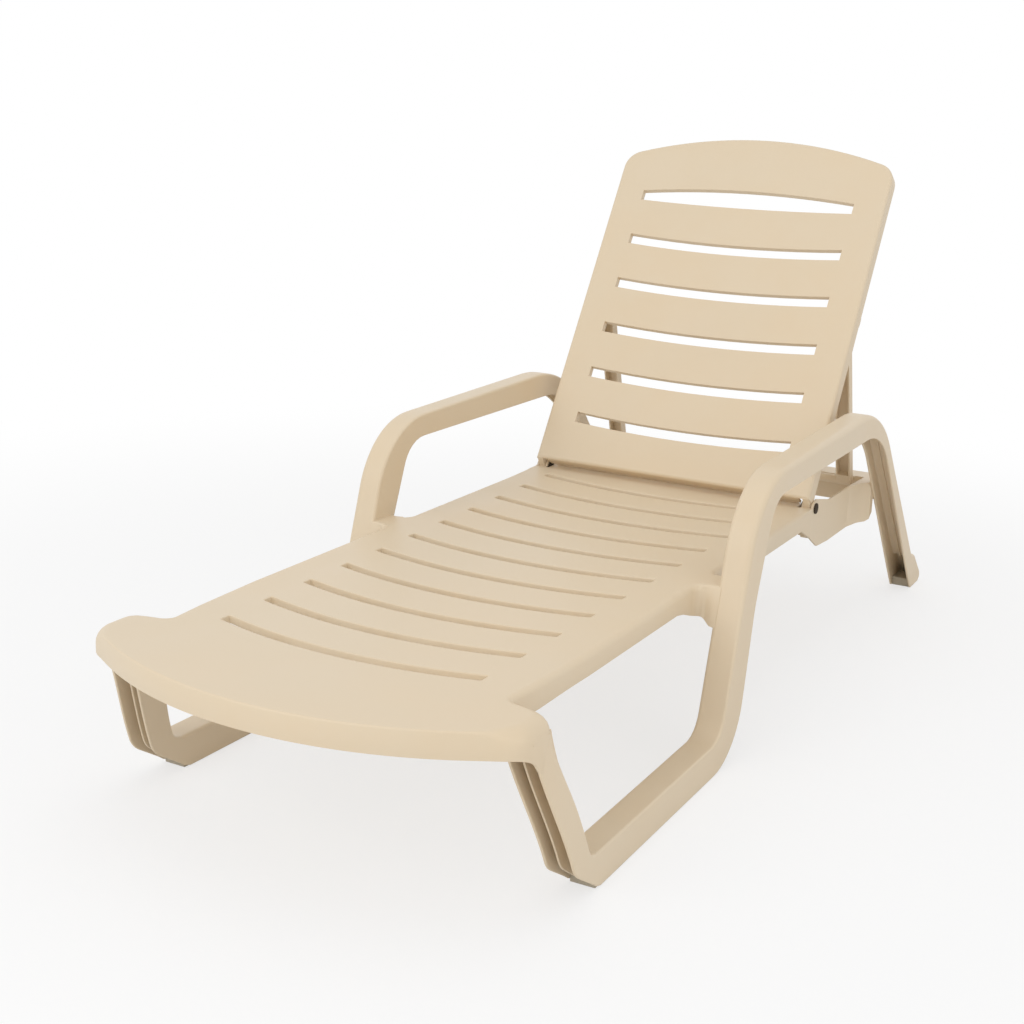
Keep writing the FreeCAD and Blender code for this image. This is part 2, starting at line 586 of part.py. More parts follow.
def rear_rail():
    """The right rail: hinge lugs, a plain outer wall, and a rack of rests between its walls."""
    inner_wall = RAIL_IN + WALL
    outer_wall = RAIL_OUT - RAIL_OUT_WALL
    fairing_top = HINGE_Z + LUG_RADIUS + FAIRING_RISE
    fairing = side_prism([(HINGE_Y, RAIL_TOP - WALL, 0), (HINGE_Y + FAIRING_LENGTH, RAIL_TOP - WALL, 0),
                          (HINGE_Y + FAIRING_LENGTH, RAIL_TOP, 0), (HINGE_Y, fairing_top, LUG_RADIUS / 2)],
                         outer_wall, RAIL_OUT)
    solid = side_prism(rail_profile(), RAIL_IN, RAIL_OUT)
    solid = solid.fuse([rod(LUG_RADIUS, RAIL_IN, RAIL_OUT, HINGE_Y, HINGE_Z), fairing])
    pocket = block(inner_wall, outer_wall, DECK_CORNER + WALL, RACK_START, 0, DECK_TOP + THROUGH)
    hollow = block(inner_wall, outer_wall, RACK_START - OVERLAP, RAIL_END - WALL, 0, RACK_BOTTOM)
    rack_end = BEAM_FRONT - WALL
    over_rack = block(inner_wall, outer_wall, RACK_START - OVERLAP, rack_end, RACK_TOP, DECK_TOP + THROUGH)
    over_wall = block(RAIL_IN - THROUGH, inner_wall, HINGE_Y + LUG_RADIUS + WALL, rack_end,
                      RACK_WALL_TOP, DECK_TOP + THROUGH)
    under_wall = side_prism([(DECK_CORNER - OVERLAP, 0, 0), (DECK_CORNER + 2 * INNER_WALL_CUT, 0, 0),
                             (DECK_CORNER + 2 * INNER_WALL_CUT, RAIL_LOW, 0),
                             (DECK_CORNER + INNER_WALL_CUT / 2, RAIL_LOW + INNER_WALL_RISE, 0),
                             (DECK_CORNER - OVERLAP, RAIL_LOW + INNER_WALL_RISE, 0)],
                            RAIL_IN - THROUGH, inner_wall)
    bore = rod(HINGE_PIN_RADIUS + SEAT_GAP, RAIL_IN - THROUGH, RAIL_OUT + THROUGH, HINGE_Y, HINGE_Z)
    rests = [rod(NOTCH_RADIUS, inner_wall, outer_wall, y, z) for y, z in notch_centres()]
    return solid.cut([pocket, hollow, over_rack, over_wall, under_wall, bore] + rests)


def rear_cross_beam():
    """The ribbed channel between the two rails, behind the prop."""
    x_high = RAIL_IN
    beam = block(-x_high, x_high, BEAM_FRONT, RAIL_END, BEAM_LOW, BEAM_TOP)
    hollow = block(-x_high, x_high, BEAM_FRONT + WALL, RAIL_END - WALL, 0, BEAM_TOP - WALL)
    beam = beam.cut(hollow)
    ribs = []
    count = int((x_high - RIB) / BEAM_RIB_PITCH)
    for index in range(-count, count + 1):
        x = index * BEAM_RIB_PITCH
        ribs.append(block(x - RIB / 2, x + RIB / 2, BEAM_FRONT + WALL, RAIL_END - WALL,
                          BEAM_LOW, BEAM_TOP - WALL))
    return beam.fuse(ribs)


def rear_bridge():
    """The hollow web that flares from the right rail to the rear leg."""
    front = RAIL_END - REAR_BRIDGE_LENGTH
    start = front - REAR_BRIDGE_FLARE
    bend = (FRAME_IN - RAIL_OUT) / 3
    plan = [
        (RAIL_OUT, RAIL_END, 0), (RAIL_OUT, start, 0), (RAIL_OUT + bend, front, REAR_BRIDGE_FLARE),
        (FRAME_IN, front + bend, 0), (FRAME_IN, RAIL_END, 0),
    ]
    points = [plan_point(x, y) for x, y, _ in plan]
    flared = prism(rounded_edges(points, [r for _, _, r in plan], True), Z_AXIS * DECK_TOP)
    profile = [
        (start, RAIL_LOW, 0), (front - WALL, RAIL_LOW, 0),
        (front + REAR_BRIDGE_FLARE / 2, RAIL_LOW + REAR_BRIDGE_ARCH, 0),
        (RAIL_END, RAIL_LOW + REAR_BRIDGE_ARCH, 0), (RAIL_END, BEAM_TOP, 0), (start, RAIL_TOP, 0),
    ]
    web = side_prism(profile, RAIL_OUT, FRAME_IN).common(flared)
    hollow = block(RAIL_OUT, FRAME_IN + THROUGH, front + bend + 2 * WALL, RAIL_END - WALL, 0, BEAM_TOP - WALL)
    return web.cut(hollow).cut(frame_space())


# ---------------------------------------------------------------- backrest
def place_on_back(shape):
    """Turn a piece drawn with its face in the XY plane into the raised backrest's place."""
    shape.rotate(Vector(0, 0, 0), X_AXIS, BACK_ANGLE)
    shape.translate(Vector(0, FACE_Y, FACE_Z))
    return shape


def back_outline(inset):
    """Face outline of the backrest, moved inwards by the inset."""
    half = BACK_HALF - inset
    top_radius = BACK_CROWN_RADIUS - inset
    crown_centre = BACK_TOP - BACK_CROWN_RADIUS
    corner = BACK_CORNER_RADIUS - inset
    reach = half - corner
    rise = math.sqrt((top_radius - corner) ** 2 - reach ** 2)
    centre_y = crown_centre + rise
    scale = top_radius / (top_radius - corner)
    touch_x = reach * scale
    touch_y = crown_centre + rise * scale
    turn = (math.pi / 2 - math.atan2(reach, rise)) / 2
    middle = plan_point(reach + corner * math.cos(turn), centre_y + corner * math.sin(turn))
    mirrored_middle = plan_point(-middle.x, middle.y)
    bottom = BACK_BOTTOM + inset
    low_left, low_right = plan_point(-half, bottom), plan_point(half, bottom)
    side_left, side_right = plan_point(-half, centre_y), plan_point(half, centre_y)
    top_left, top_right = plan_point(-touch_x, touch_y), plan_point(touch_x, touch_y)
    return [
        Part.LineSegment(low_left, low_right).toShape(),
        Part.LineSegment(low_right, side_right).toShape(),
        Part.Arc(side_right, middle, top_right).toShape(),
        Part.Arc(top_right, plan_point(0, crown_centre + top_radius), top_left).toShape(),
        Part.Arc(top_left, mirrored_middle, side_left).toShape(),
        Part.LineSegment(side_left, low_left).toShape(),
    ]


def back_slot_band(index):
    """The band of one backrest slot, counted from the top."""
    high = BACK_SLOT_TOP - index * BACK_SLOT_PITCH
    low = high - BACK_SLOT_HEIGHT
    if index == 0:
        return BACK_SLOT_HALF, low, high, -BACK_TOP_SLOT_SAG, BACK_TOP_SLOT_RISE
    return BACK_SLOT_HALF, low, high, -BACK_SLOT_SAG, -BACK_SLOT_SAG


def backrest_panel():
    """The slatted backrest moulding: face, rim, slot collars, knuckles and prop lugs."""
    shell = prism(back_outline(0), Z_AXIS * BACK_DEPTH)
    shell.translate(Z_AXIS * -BACK_DEPTH)
    face_edges = [edge for edge in shell.Edges if abs(edge.BoundBox.ZMin) < 0.01]
    shell = shell.makeFillet(EDGE_RADIUS, face_edges)
    hollow = prism(back_outline(WALL), Z_AXIS * (BACK_DEPTH - WALL))
    hollow.translate(Z_AXIS * -BACK_DEPTH)
    shell = shell.cut(hollow)
    lug_room = block(DECK_HEAD_HALF, KNUCKLE_IN, 0, BACK_BOTTOM + WALL + SIDE_GAP,
                     -BACK_DEPTH - THROUGH, -WALL)
    shell = shell.cut([lug_room, mirrored(lug_room)])
    additions = []
    for index in range(BACK_SLOTS):
        additions.append(band_solid(back_slot_band(index), RIB, -COLLAR_DEPTH, -WALL / 2))
    for side in (1, -1):
        for piece in (knuckle(), inner_prop_lug(), outer_prop_boss()):
            additions.append(piece if side > 0 else mirrored(piece))
    slots = [band_solid(back_slot_band(index), 0, -THROUGH, THROUGH) for index in range(BACK_SLOTS)]
    bores = [
        rod(HINGE_PIN_RADIUS + PIN_GAP, -BACK_HALF - THROUGH, BACK_HALF + THROUGH, PIN_ALONG, -PIN_BEHIND),
        rod(PROP_PIN_RADIUS + SEAT_GAP, -PROP_PIN_END, PROP_PIN_END, PIVOT_ALONG, -PIVOT_BEHIND),
    ]
    panel = shell.fuse(additions).cut(slots).cut(bores)
    return place_on_back(panel)


def knuckle():
    """The right hinge ear, drawn with the face in the XY plane."""
    root_end = BACK_BOTTOM + KNUCKLE_ROOT
    arm = side_prism([(BACK_BOTTOM + SIDE_GAP, -WALL / 2, 0), (root_end, -WALL / 2, 0),
                      (root_end - KNUCKLE_TAPER, KNUCKLE_INSET - BACK_DEPTH, 0),
                      (PIN_ALONG + KNUCKLE_CHEEK, -PIN_BEHIND - KNUCKLE_INSET, 0),
                      (PIN_ALONG - KNUCKLE_CHEEK, KNUCKLE_CHEEK - PIN_BEHIND, 0)],
                     KNUCKLE_IN, BACK_HALF - WALL / 2)
    eye = rod(KNUCKLE_RADIUS, KNUCKLE_IN, BACK_HALF, PIN_ALONG, -PIN_BEHIND)
    return arm.fuse(eye)


def prop_lug(x_low, x_high):
    """A lug that carries the prop's pin, between two x places."""
    reach = PROP_KNUCKLE + LUG_MARGIN
    profile = [(PIVOT_ALONG - reach, -WALL / 2, 0), (PIVOT_ALONG + reach, -WALL / 2, 0),
               (PIVOT_ALONG + PROP_KNUCKLE, -PIVOT_BEHIND - PROP_KNUCKLE, LUG_CORNER_RADIUS),
               (PIVOT_ALONG - PROP_KNUCKLE, -PIVOT_BEHIND - PROP_KNUCKLE, LUG_CORNER_RADIUS)]
    return side_prism(profile, x_low, x_high)


def inner_prop_lug():
    """The lug on the inner side of the right prop leg."""
    return prop_lug(LUG_IN, LUG_OUT)


def outer_prop_boss():
    """The boss on the backrest's rim, outside the right prop leg."""
    return prop_lug(PROP_OUT + SIDE_GAP, BACK_HALF - WALL / 2)


def hinge_pin():
    """The right hinge pin with its flat head outside the rail."""
    shank = rod(HINGE_PIN_RADIUS, PIN_IN, RAIL_OUT + HINGE_HEAD / 2, HINGE_Y, HINGE_Z)
    head = rod(HINGE_HEAD_RADIUS, RAIL_OUT, RAIL_OUT + HINGE_HEAD, HINGE_Y, HINGE_Z)
    return shank.fuse(head)


def hinge_clip():
    """The push-on ring that holds the right hinge pin inside the rail."""
    ring = rod(HINGE_HEAD_RADIUS, RAIL_IN - CLIP_WIDTH, RAIL_IN, HINGE_Y, HINGE_Z)
    return ring.cut(rod(HINGE_PIN_RADIUS + SEAT_GAP, RAIL_IN - THROUGH, RAIL_IN + THROUGH, HINGE_Y, HINGE_Z))


def prop_pin():
    """The right prop pin with its head on the inner lug."""
    shank = rod(PROP_PIN_RADIUS, LUG_IN - PROP_HEAD / 2, PROP_PIN_END - SEAT_GAP, PIVOT_Y, PIVOT_Z)
    head = rod(PROP_HEAD_RADIUS, LUG_IN - PROP_HEAD, LUG_IN, PIVOT_Y, PIVOT_Z)
    return shank.fuse(head)


# ---------------------------------------------------------------- prop frame
def prop_place(along, across):
    """Global y and z of a point given down the prop from its pivot and behind its line."""
    dy, dz = (PROP_FOOT_Y - PIVOT_Y) / PROP_LENGTH, (PROP_FOOT_Z - PIVOT_Z) / PROP_LENGTH
    return PIVOT_Y + dy * along - dz * across, PIVOT_Z + dz * along + dy * across


def prop_prism(start, end, front, behind, x_low, x_high):
    """A block along the right prop leg, between places down it and across it."""
    corners = [(start, behind), (end, behind), (end, front), (start, front)]
    return side_prism([prop_place(*corner) + (0,) for corner in corners], x_low, x_high)


def prop_leg():
    """The right prop leg: a channel open to the front, with a knuckle and a rounded foot."""
    half = PROP_DEPTH / 2
    body = prop_prism(0, PROP_LENGTH, PROP_SKIN - half, half - PROP_SKIN, PROP_IN, PROP_OUT)
    hollow = prop_prism(PROP_KNUCKLE + 2 * RIB, PROP_LENGTH - PROP_FOOT_RADIUS - 2 * RIB,
                        -half - THROUGH, half - PROP_SKIN - RIB, PROP_IN + RIB, PROP_OUT - RIB)
    eye = rod(PROP_KNUCKLE, PROP_IN, PROP_OUT, PIVOT_Y, PIVOT_Z)
    foot = rod(PROP_FOOT_RADIUS, PROP_IN, PROP_OUT, PROP_FOOT_Y, PROP_FOOT_Z)
    bore = rod(PROP_PIN_RADIUS + PIN_GAP, PROP_IN - THROUGH, PROP_OUT + THROUGH, PIVOT_Y, PIVOT_Z)
    return body.cut(hollow).fuse([eye, foot]).cut(bore)


def prop_bar(along):
    """A cross bar between the prop's two legs, at a place down the legs."""
    y, z = prop_place(along, 0)
    return rod(PROP_BAR_RADIUS, -PROP_IN, PROP_IN, y, z)


# ---------------------------------------------------------------- the whole lounger
def all_nodes():
    """Every piece of the lounger, by node name."""
    nodes = {}
    panel = foot_end_panel()
    nodes["seat_deck"] = seat_deck()
    nodes["deck_ribs"] = deck_ribs()
    nodes["foot_end_panel"] = panel
    paired = side_frame_pieces(panel)
    paired["arm_bridge"] = arm_bridge()
    paired["rear_rail"] = rear_rail()
    paired["rear_bridge"] = rear_bridge()
    paired["front_foot_pad"] = foot_pad(FRONT_PAD_ENDS)
    paired["rear_foot_pad"] = foot_pad(REAR_PAD_ENDS)
    paired["hinge_pin"] = hinge_pin()
    paired["hinge_clip"] = hinge_clip()
    paired["prop_pin"] = prop_pin()
    paired["prop_leg"] = prop_leg()
    nodes["rear_cross_beam"] = rear_cross_beam()
    nodes["backrest_panel"] = backrest_panel()
    nodes["prop_upper_bar"] = prop_bar(PROP_BAR_DROP)
    nodes["prop_lower_bar"] = prop_bar(PROP_LENGTH)
    for name, shape in paired.items():
        nodes[name + "_right"] = shape
        nodes[name + "_left"] = mirrored(shape)
    return nodes


for node_name, node_shape in all_nodes().items():
    node_shape.exportStep(os.path.join("parts", node_name + ".step"))
    box = node_shape.BoundBox
    print("%-24s solids %d volume %9.0f  x %7.1f %7.1f  y %7.1f %7.1f  z %6.1f %6.1f %s" % (
        node_name, len(node_shape.Solids), node_shape.Volume, box.XMin, box.XMax, box.YMin, box.YMax,
        box.ZMin, box.ZMax, node_shape.isValid()))
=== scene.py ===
"""Looks of a reclining sun lounger moulded in warm beige resin.

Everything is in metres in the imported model's frame: +Z is up, +Y runs from the foot end to the
head end, +X is the sitter's right, and the origin is on the ground at the footprint's middle.
"""

import json
import logging
import math
from dataclasses import dataclass, field
from enum import Enum
from typing import Any, Callable, Mapping, Sequence, Union

import bmesh
import bpy
from mathutils import Matrix, Vector


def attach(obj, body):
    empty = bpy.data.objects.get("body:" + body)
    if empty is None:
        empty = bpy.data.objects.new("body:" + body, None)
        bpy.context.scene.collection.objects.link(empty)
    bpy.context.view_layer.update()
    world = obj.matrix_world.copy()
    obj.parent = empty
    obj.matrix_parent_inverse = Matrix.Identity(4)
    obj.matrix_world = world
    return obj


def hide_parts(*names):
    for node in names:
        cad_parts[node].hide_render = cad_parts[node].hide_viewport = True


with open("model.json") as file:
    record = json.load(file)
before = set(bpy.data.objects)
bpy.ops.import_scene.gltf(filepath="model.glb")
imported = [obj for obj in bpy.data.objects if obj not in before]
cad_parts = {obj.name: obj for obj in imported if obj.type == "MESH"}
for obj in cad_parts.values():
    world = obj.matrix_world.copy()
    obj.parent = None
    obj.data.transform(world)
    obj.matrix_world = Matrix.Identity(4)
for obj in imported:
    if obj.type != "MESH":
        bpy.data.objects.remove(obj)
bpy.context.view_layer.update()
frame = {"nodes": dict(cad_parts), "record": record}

LOG = logging.getLogger("lounger")
MM = 0.001
SHARP_ANGLE = 38.0


# ------------------------------------------------------------------ names and options
class Side(Enum):
    """The two sides of the lounger, by the sign of their x."""

    RIGHT = 1
    LEFT = -1

    @property
    def word(self) -> str:
        """The side's name as it ends a node's name."""
        return self.name.lower()


class Slot(Enum):
    """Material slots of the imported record."""

    RESIN = "resin"
    PAD = "pad"
    PIN = "pin"


# ------------------------------------------------------------------ shader expressions
Number = Union[int, float]


class Signal:
    """A shader output that works in Python expressions."""

    def __init__(self, graph: "ShaderGraph", socket: bpy.types.NodeSocket) -> None:
        """Wrap an output socket.

        Args:
            graph: The graph that the socket belongs to.
            socket: The output to wrap.
        """
        self.graph = graph
        self.socket = socket

    def _math(self, operation: str, first: "Input", second: "Input") -> "Signal":
        """Add one Math node for two values."""
        return self.graph.node("ShaderNodeMath", {"operation": operation}, {0: first, 1: second})

    def __add__(self, other: "Input") -> "Signal":
        """Sum."""
        return self._math("ADD", self, other)

    def __radd__(self, other: "Input") -> "Signal":
        """Sum with a number on the left."""
        return self._math("ADD", other, self)

    def __sub__(self, other: "Input") -> "Signal":
        """Difference."""
        return self._math("SUBTRACT", self, other)

    def __rsub__(self, other: "Input") -> "Signal":
        """Difference with a number on the left."""
        return self._math("SUBTRACT", other, self)

    def __mul__(self, other: "Input") -> "Signal":
        """Product."""
        return self._math("MULTIPLY", self, other)

    def __rmul__(self, other: "Input") -> "Signal":
        """Product with a number on the left."""
        return self._math("MULTIPLY", other, self)

    def clamped(self) -> "Signal":
        """The value held between 0 and 1."""
        return self.graph.node("ShaderNodeClamp", {}, {"Value": self})


Input = Union[Signal, Number, Sequence[float]]


class ShaderGraph:
    """Node tree of one material or of the world."""

    def __init__(self, owner: Union[bpy.types.Material, bpy.types.World]) -> None:
        """Empty the owner's node tree.

        Args:
            owner: The material or world to build.
        """
        owner.use_nodes = True
        self.tree = owner.node_tree
        self.tree.nodes.clear()

    def node(self, kind: str, settings: Mapping[str, Any], inputs: Mapping[Any, Input],
             output: Union[int, str] = 0) -> Signal:
        """Add a node.

        Args:
            kind: The node's type name.
            settings: Its properties.
            inputs: Values or signals for its sockets, by name or index.
            output: Which of its outputs to return.

        Returns:
            The chosen output.
        """
        made = self.tree.nodes.new(kind)
        for name, value in settings.items():
            setattr(made, name, value)
        for name, value in inputs.items():
            if isinstance(value, Signal):
                self.tree.links.new(value.socket, made.inputs[name])
            else:
                made.inputs[name].default_value = value
        return Signal(self, made.outputs[output])

    def noise(self, point: Signal, scale: float, detail: float = 2.0, roughness: float = 0.5) -> Signal:
        """Noise between 0 and 1.

        Args:
            point: Where it is read, in metres.
            scale: Cells per metre.
            detail: Octaves.
            roughness: Weight of the finer octaves.

        Returns:
            The noise value.
        """
        return self.node("ShaderNodeTexNoise", {"noise_dimensions": "3D"},
                         {"Vector": point, "Scale": scale, "Detail": detail, "Roughness": roughness}, "Fac")

    def between(self, value: Signal, low: float, high: float) -> Signal:
        """A smooth step of a value from low to high.

        Args:
            value: The value to read.
            low: Where the step is 0.
            high: Where the step is 1.

        Returns:
            The stepped value.
        """
        return self.node("ShaderNodeMapRange", {"interpolation_type": "SMOOTHSTEP"},
                         {"Value": value, "From Min": low, "From Max": high})

    def blend(self, factor: Input, first: Input, second: Input) -> Signal:
        """Mix two colours.

        Args:
            factor: 0 gives the first, 1 the second.
            first: A colour.
            second: A colour.

        Returns:
            The mixed colour.
        """
        return self.node("ShaderNodeMix", {"data_type": "RGBA"}, {0: factor, 6: first, 7: second}, 2)

    def place(self) -> Signal:
        """The shaded point in the object's own metres."""
        return self.node("ShaderNodeTexCoord", {}, {}, "Object")

    def bump(self, height: Signal, strength: float, distance: float) -> Signal:
        """A bumped normal.

        Args:
            height: The height signal.
            strength: How much of it shows.
            distance: Height of 1, in metres.

        Returns:
            The normal.
        """
        return self.node("ShaderNodeBump", {}, {"Height": height, "Strength": strength, "Distance": distance})

    def finish(self, surface: Signal, kind: str = "ShaderNodeOutputMaterial") -> None:
        """Connect a shader to the output.

        Args:
            surface: The closing shader.
            kind: The output node's type.
        """
        made = self.tree.nodes.new(kind)
        self.tree.links.new(surface.socket, made.inputs["Surface"])


Colour = tuple[float, float, float]


def opaque(colour: Colour) -> tuple[float, float, float, float]:
    """The colour with full alpha."""
    return (*colour, 1.0)


@dataclass(frozen=True)
class ResinFinish:
    """Satin injection-moulded resin: even colour, soft flow shading and a fine moulded grain."""

    name: str = "beige_resin"
    colour: Colour = (0.735, 0.610, 0.441)
    warm: Colour = (0.745, 0.606, 0.426)
    pale: Colour = (0.748, 0.634, 0.474)
    roughness: float = 0.40
    roughness_spread: float = 0.10
    specular: float = 0.42
    flow_scale: float = 2.6
    flow_range: tuple[float, float] = (0.35, 0.65)
    cloud_scale: float = 11.0
    cloud_range: tuple[float, float] = (0.3, 0.7)
    cloud_share: float = 0.35
    grain_scale: float = 900.0
    grain_height: float = 0.00006
    wave_scale: float = 16.0
    wave_height: float = 0.0006
    relief: float = 0.35

    def build(self) -> bpy.types.Material:
        """Make the material.

        Returns:
            The resin material.
        """
        material = bpy.data.materials.new(self.name)
        graph = ShaderGraph(material)
        place = graph.place()
        flow = graph.between(graph.noise(place, self.flow_scale, 3.0), *self.flow_range)
        cloud = graph.between(graph.noise(place, self.cloud_scale, 4.0, 0.6), *self.cloud_range)
        tone = graph.blend(flow, opaque(self.colour), opaque(self.warm))
        tone = graph.blend(cloud * self.cloud_share, tone, opaque(self.pale))
        rough = self.roughness - self.roughness_spread * 0.5 + cloud * self.roughness_spread
        grain = graph.noise(place, self.grain_scale, 2.0, 0.6)
        wave = graph.noise(place, self.wave_scale, 1.0)
        height = grain * self.grain_height + wave * self.wave_height
        normal = graph.bump(height, self.relief, 1.0)
        graph.finish(graph.node("ShaderNodeBsdfPrincipled", {}, {
            "Base Color": tone, "Roughness": rough, "Specular IOR Level": self.specular, "IOR": 1.5,
            "Normal": normal}))
        return material


@dataclass(frozen=True)
class PadFinish:
    """Matt grey-beige foot pad, with painted shade that darkens it in speckled patches towards the ground."""

    name: str = "grey_pad"
    colour: Colour = (0.50, 0.44, 0.34)
    # painted shade: the darker colour painted near the ground, where the pad's shadow falls
    painted_ground_shade: Colour = (0.42, 0.37, 0.29)
    roughness: float = 0.72
    speckle_scale: float = 420.0
    # height, speckle range and share of the painted shade near the ground
    shade_height: float = 0.012
    shade_range: tuple[float, float] = (0.4, 0.7)
    shade_share: float = 0.6
    roughness_spread: float = 0.12
    relief: float = 0.3
    relief_height: float = 0.0002

    def build(self) -> bpy.types.Material:
        """Make the material.

        Returns:
            The pad material.
        """
        material = bpy.data.materials.new(self.name)
        graph = ShaderGraph(material)
        place = graph.place()
        height = graph.node("ShaderNodeSeparateXYZ", {}, {0: place}, "Z")
        speckle = graph.noise(place, self.speckle_scale, 3.0, 0.6)
        # painted shade: the pad darkens in speckled patches within a few millimetres of the ground
        low = 1.0 - graph.between(height, 0.0, self.shade_height)
        painted_shade_mask = (low * graph.between(speckle, *self.shade_range)).clamped()
        tone = graph.blend(painted_shade_mask * self.shade_share, opaque(self.colour), opaque(self.painted_ground_shade))
        graph.finish(graph.node("ShaderNodeBsdfPrincipled", {}, {
            "Base Color": tone, "Roughness": self.roughness + speckle * self.roughness_spread,
            "Normal": graph.bump(speckle, self.relief, self.relief_height)}))
        return material


@dataclass(frozen=True)
class PinFinish:
    """Dark moulded hinge pins, rubbed a little paler where they turn."""

    name: str = "dark_pin"
    colour: Colour = (0.050, 0.035, 0.021)
    rubbed: Colour = (0.085, 0.062, 0.040)
    roughness: float = 0.62
    specular: float = 0.2
    scuff_scale: float = 260.0
    scuff_range: tuple[float, float] = (0.5, 0.72)
    roughness_spread: float = 0.2
    relief: float = 0.25
    relief_height: float = 0.0002

    def build(self) -> bpy.types.Material:
        """Make the material.

        Returns:
            The pin material.
        """
        material = bpy.data.materials.new(self.name)
        graph = ShaderGraph(material)
        place = graph.place()
        scuff = graph.noise(place, self.scuff_scale, 4.0, 0.65)
        rubbed = graph.between(scuff, *self.scuff_range)
        graph.finish(graph.node("ShaderNodeBsdfPrincipled", {}, {
            "Base Color": graph.blend(rubbed, opaque(self.colour), opaque(self.rubbed)),
            "Roughness": self.roughness + scuff * self.roughness_spread,
            "Specular IOR Level": self.specular,
            "Normal": graph.bump(scuff, self.relief, self.relief_height)}))
        return material


# ------------------------------------------------------------------ plane paths
@dataclass(frozen=True)
class Corner:
    """A corner of a path in a plane, in millimetres, and the radius that rounds it."""

    u: float
    v: float
    radius: float = 0.0


class RoundedPath:
    """A path of straight runs and arcs through corners."""

    def __init__(self, corners: Sequence[Corner], arc_step: float = 6.0, run_step: float = 1e9) -> None:
        """Lay out the path.

        Args:
            corners: The corners in order.
            arc_step: Largest turn between two points of an arc, in degrees.
            run_step: Longest distance between two points of a straight run.
        """
        self.points: list[Vector] = []
        self.marks: list[float] = []
        self._lengths: list[float] = []
        for index, corner in enumerate(corners):
            place = Vector((corner.u, corner.v))
            is_end = index in (0, len(corners) - 1)
            if is_end or corner.radius <= 0.0:
                self._run_to(place, run_step)
                self.marks.append(self._length())
                continue
            before = corners[index - 1]
            after = corners[index + 1]
            back = (Vector((before.u, before.v)) - place).normalized()
            ahead = (Vector((after.u, after.v)) - place).normalized()
            half = back.angle(ahead) / 2
            reach = corner.radius / math.tan(half)
            centre = place + (back + ahead).normalized() * (corner.radius / math.sin(half))
            start, end = place + back * reach - centre, place + ahead * reach - centre
            turn = start.angle_signed(end)
            steps = max(2, 2 * math.ceil(abs(math.degrees(turn)) / arc_step / 2))
            self._run_to(centre + start, run_step)
            for step in range(1, steps + 1):
                angle = -turn * step / steps
                spin = Matrix.Rotation(angle, 2)
                self._add(centre + spin @ start)
                if step == steps // 2:
                    self.marks.append(self._length())

    def _length(self) -> float:
        """Length of the path so far."""
        return self._lengths[-1]

    def _add(self, place: Vector) -> None:
        """Add a point, unless the path is already there."""
        if not self.points:
            self.points.append(place)
            self._lengths.append(0.0)
            return
        gap = (place - self.points[-1]).length
        if gap > 1e-6:
            self.points.append(place)
            self._lengths.append(self._lengths[-1] + gap)

    def _run_to(self, place: Vector, run_step: float) -> None:
        """Add a straight run that ends at a place."""
        if self.points:
            start = self.points[-1].copy()
            steps = max(1, math.ceil((place - start).length / run_step))
            for step in range(1, steps):
                self._add(start.lerp(place, step / steps))
        self._add(place)

    def at(self, length: float) -> Vector:
        """A place along the path.

        Args:
            length: How far along, in millimetres.

        Returns:
            The place.
        """
        for index in range(1, len(self.points)):
            if self._lengths[index] >= length or index == len(self.points) - 1:
                low, high = self._lengths[index - 1], self._lengths[index]
                share = min(max((length - low) / (high - low), 0.0), 1.0)
                return self.points[index - 1].lerp(self.points[index], share)
        return self.points[-1].copy()


def eased(value: float, low: float, high: float) -> float:
    """A smooth step from 0 at low to 1 at high."""
    share = min(max((value - low) / (high - low), 0.0), 1.0)
    return share * share * (3.0 - 2.0 * share)


def arc_points(centre: tuple[float, float], radius: float, start: float, end: float,
               steps: int) -> list[tuple[float, float]]:
    """Points along an arc.

    Args:
        centre: The arc's centre.
        radius: Its radius.
        start: Angle of its first point, in degrees.
        end: Angle of its last point.
        steps: How many pieces it is divided into.

    Returns:
        The points, one more than the pieces.
    """
    angles = [math.radians(start + (end - start) * step / steps) for step in range(steps + 1)]
    return [(centre[0] + radius * math.cos(angle), centre[1] + radius * math.sin(angle)) for angle in angles]


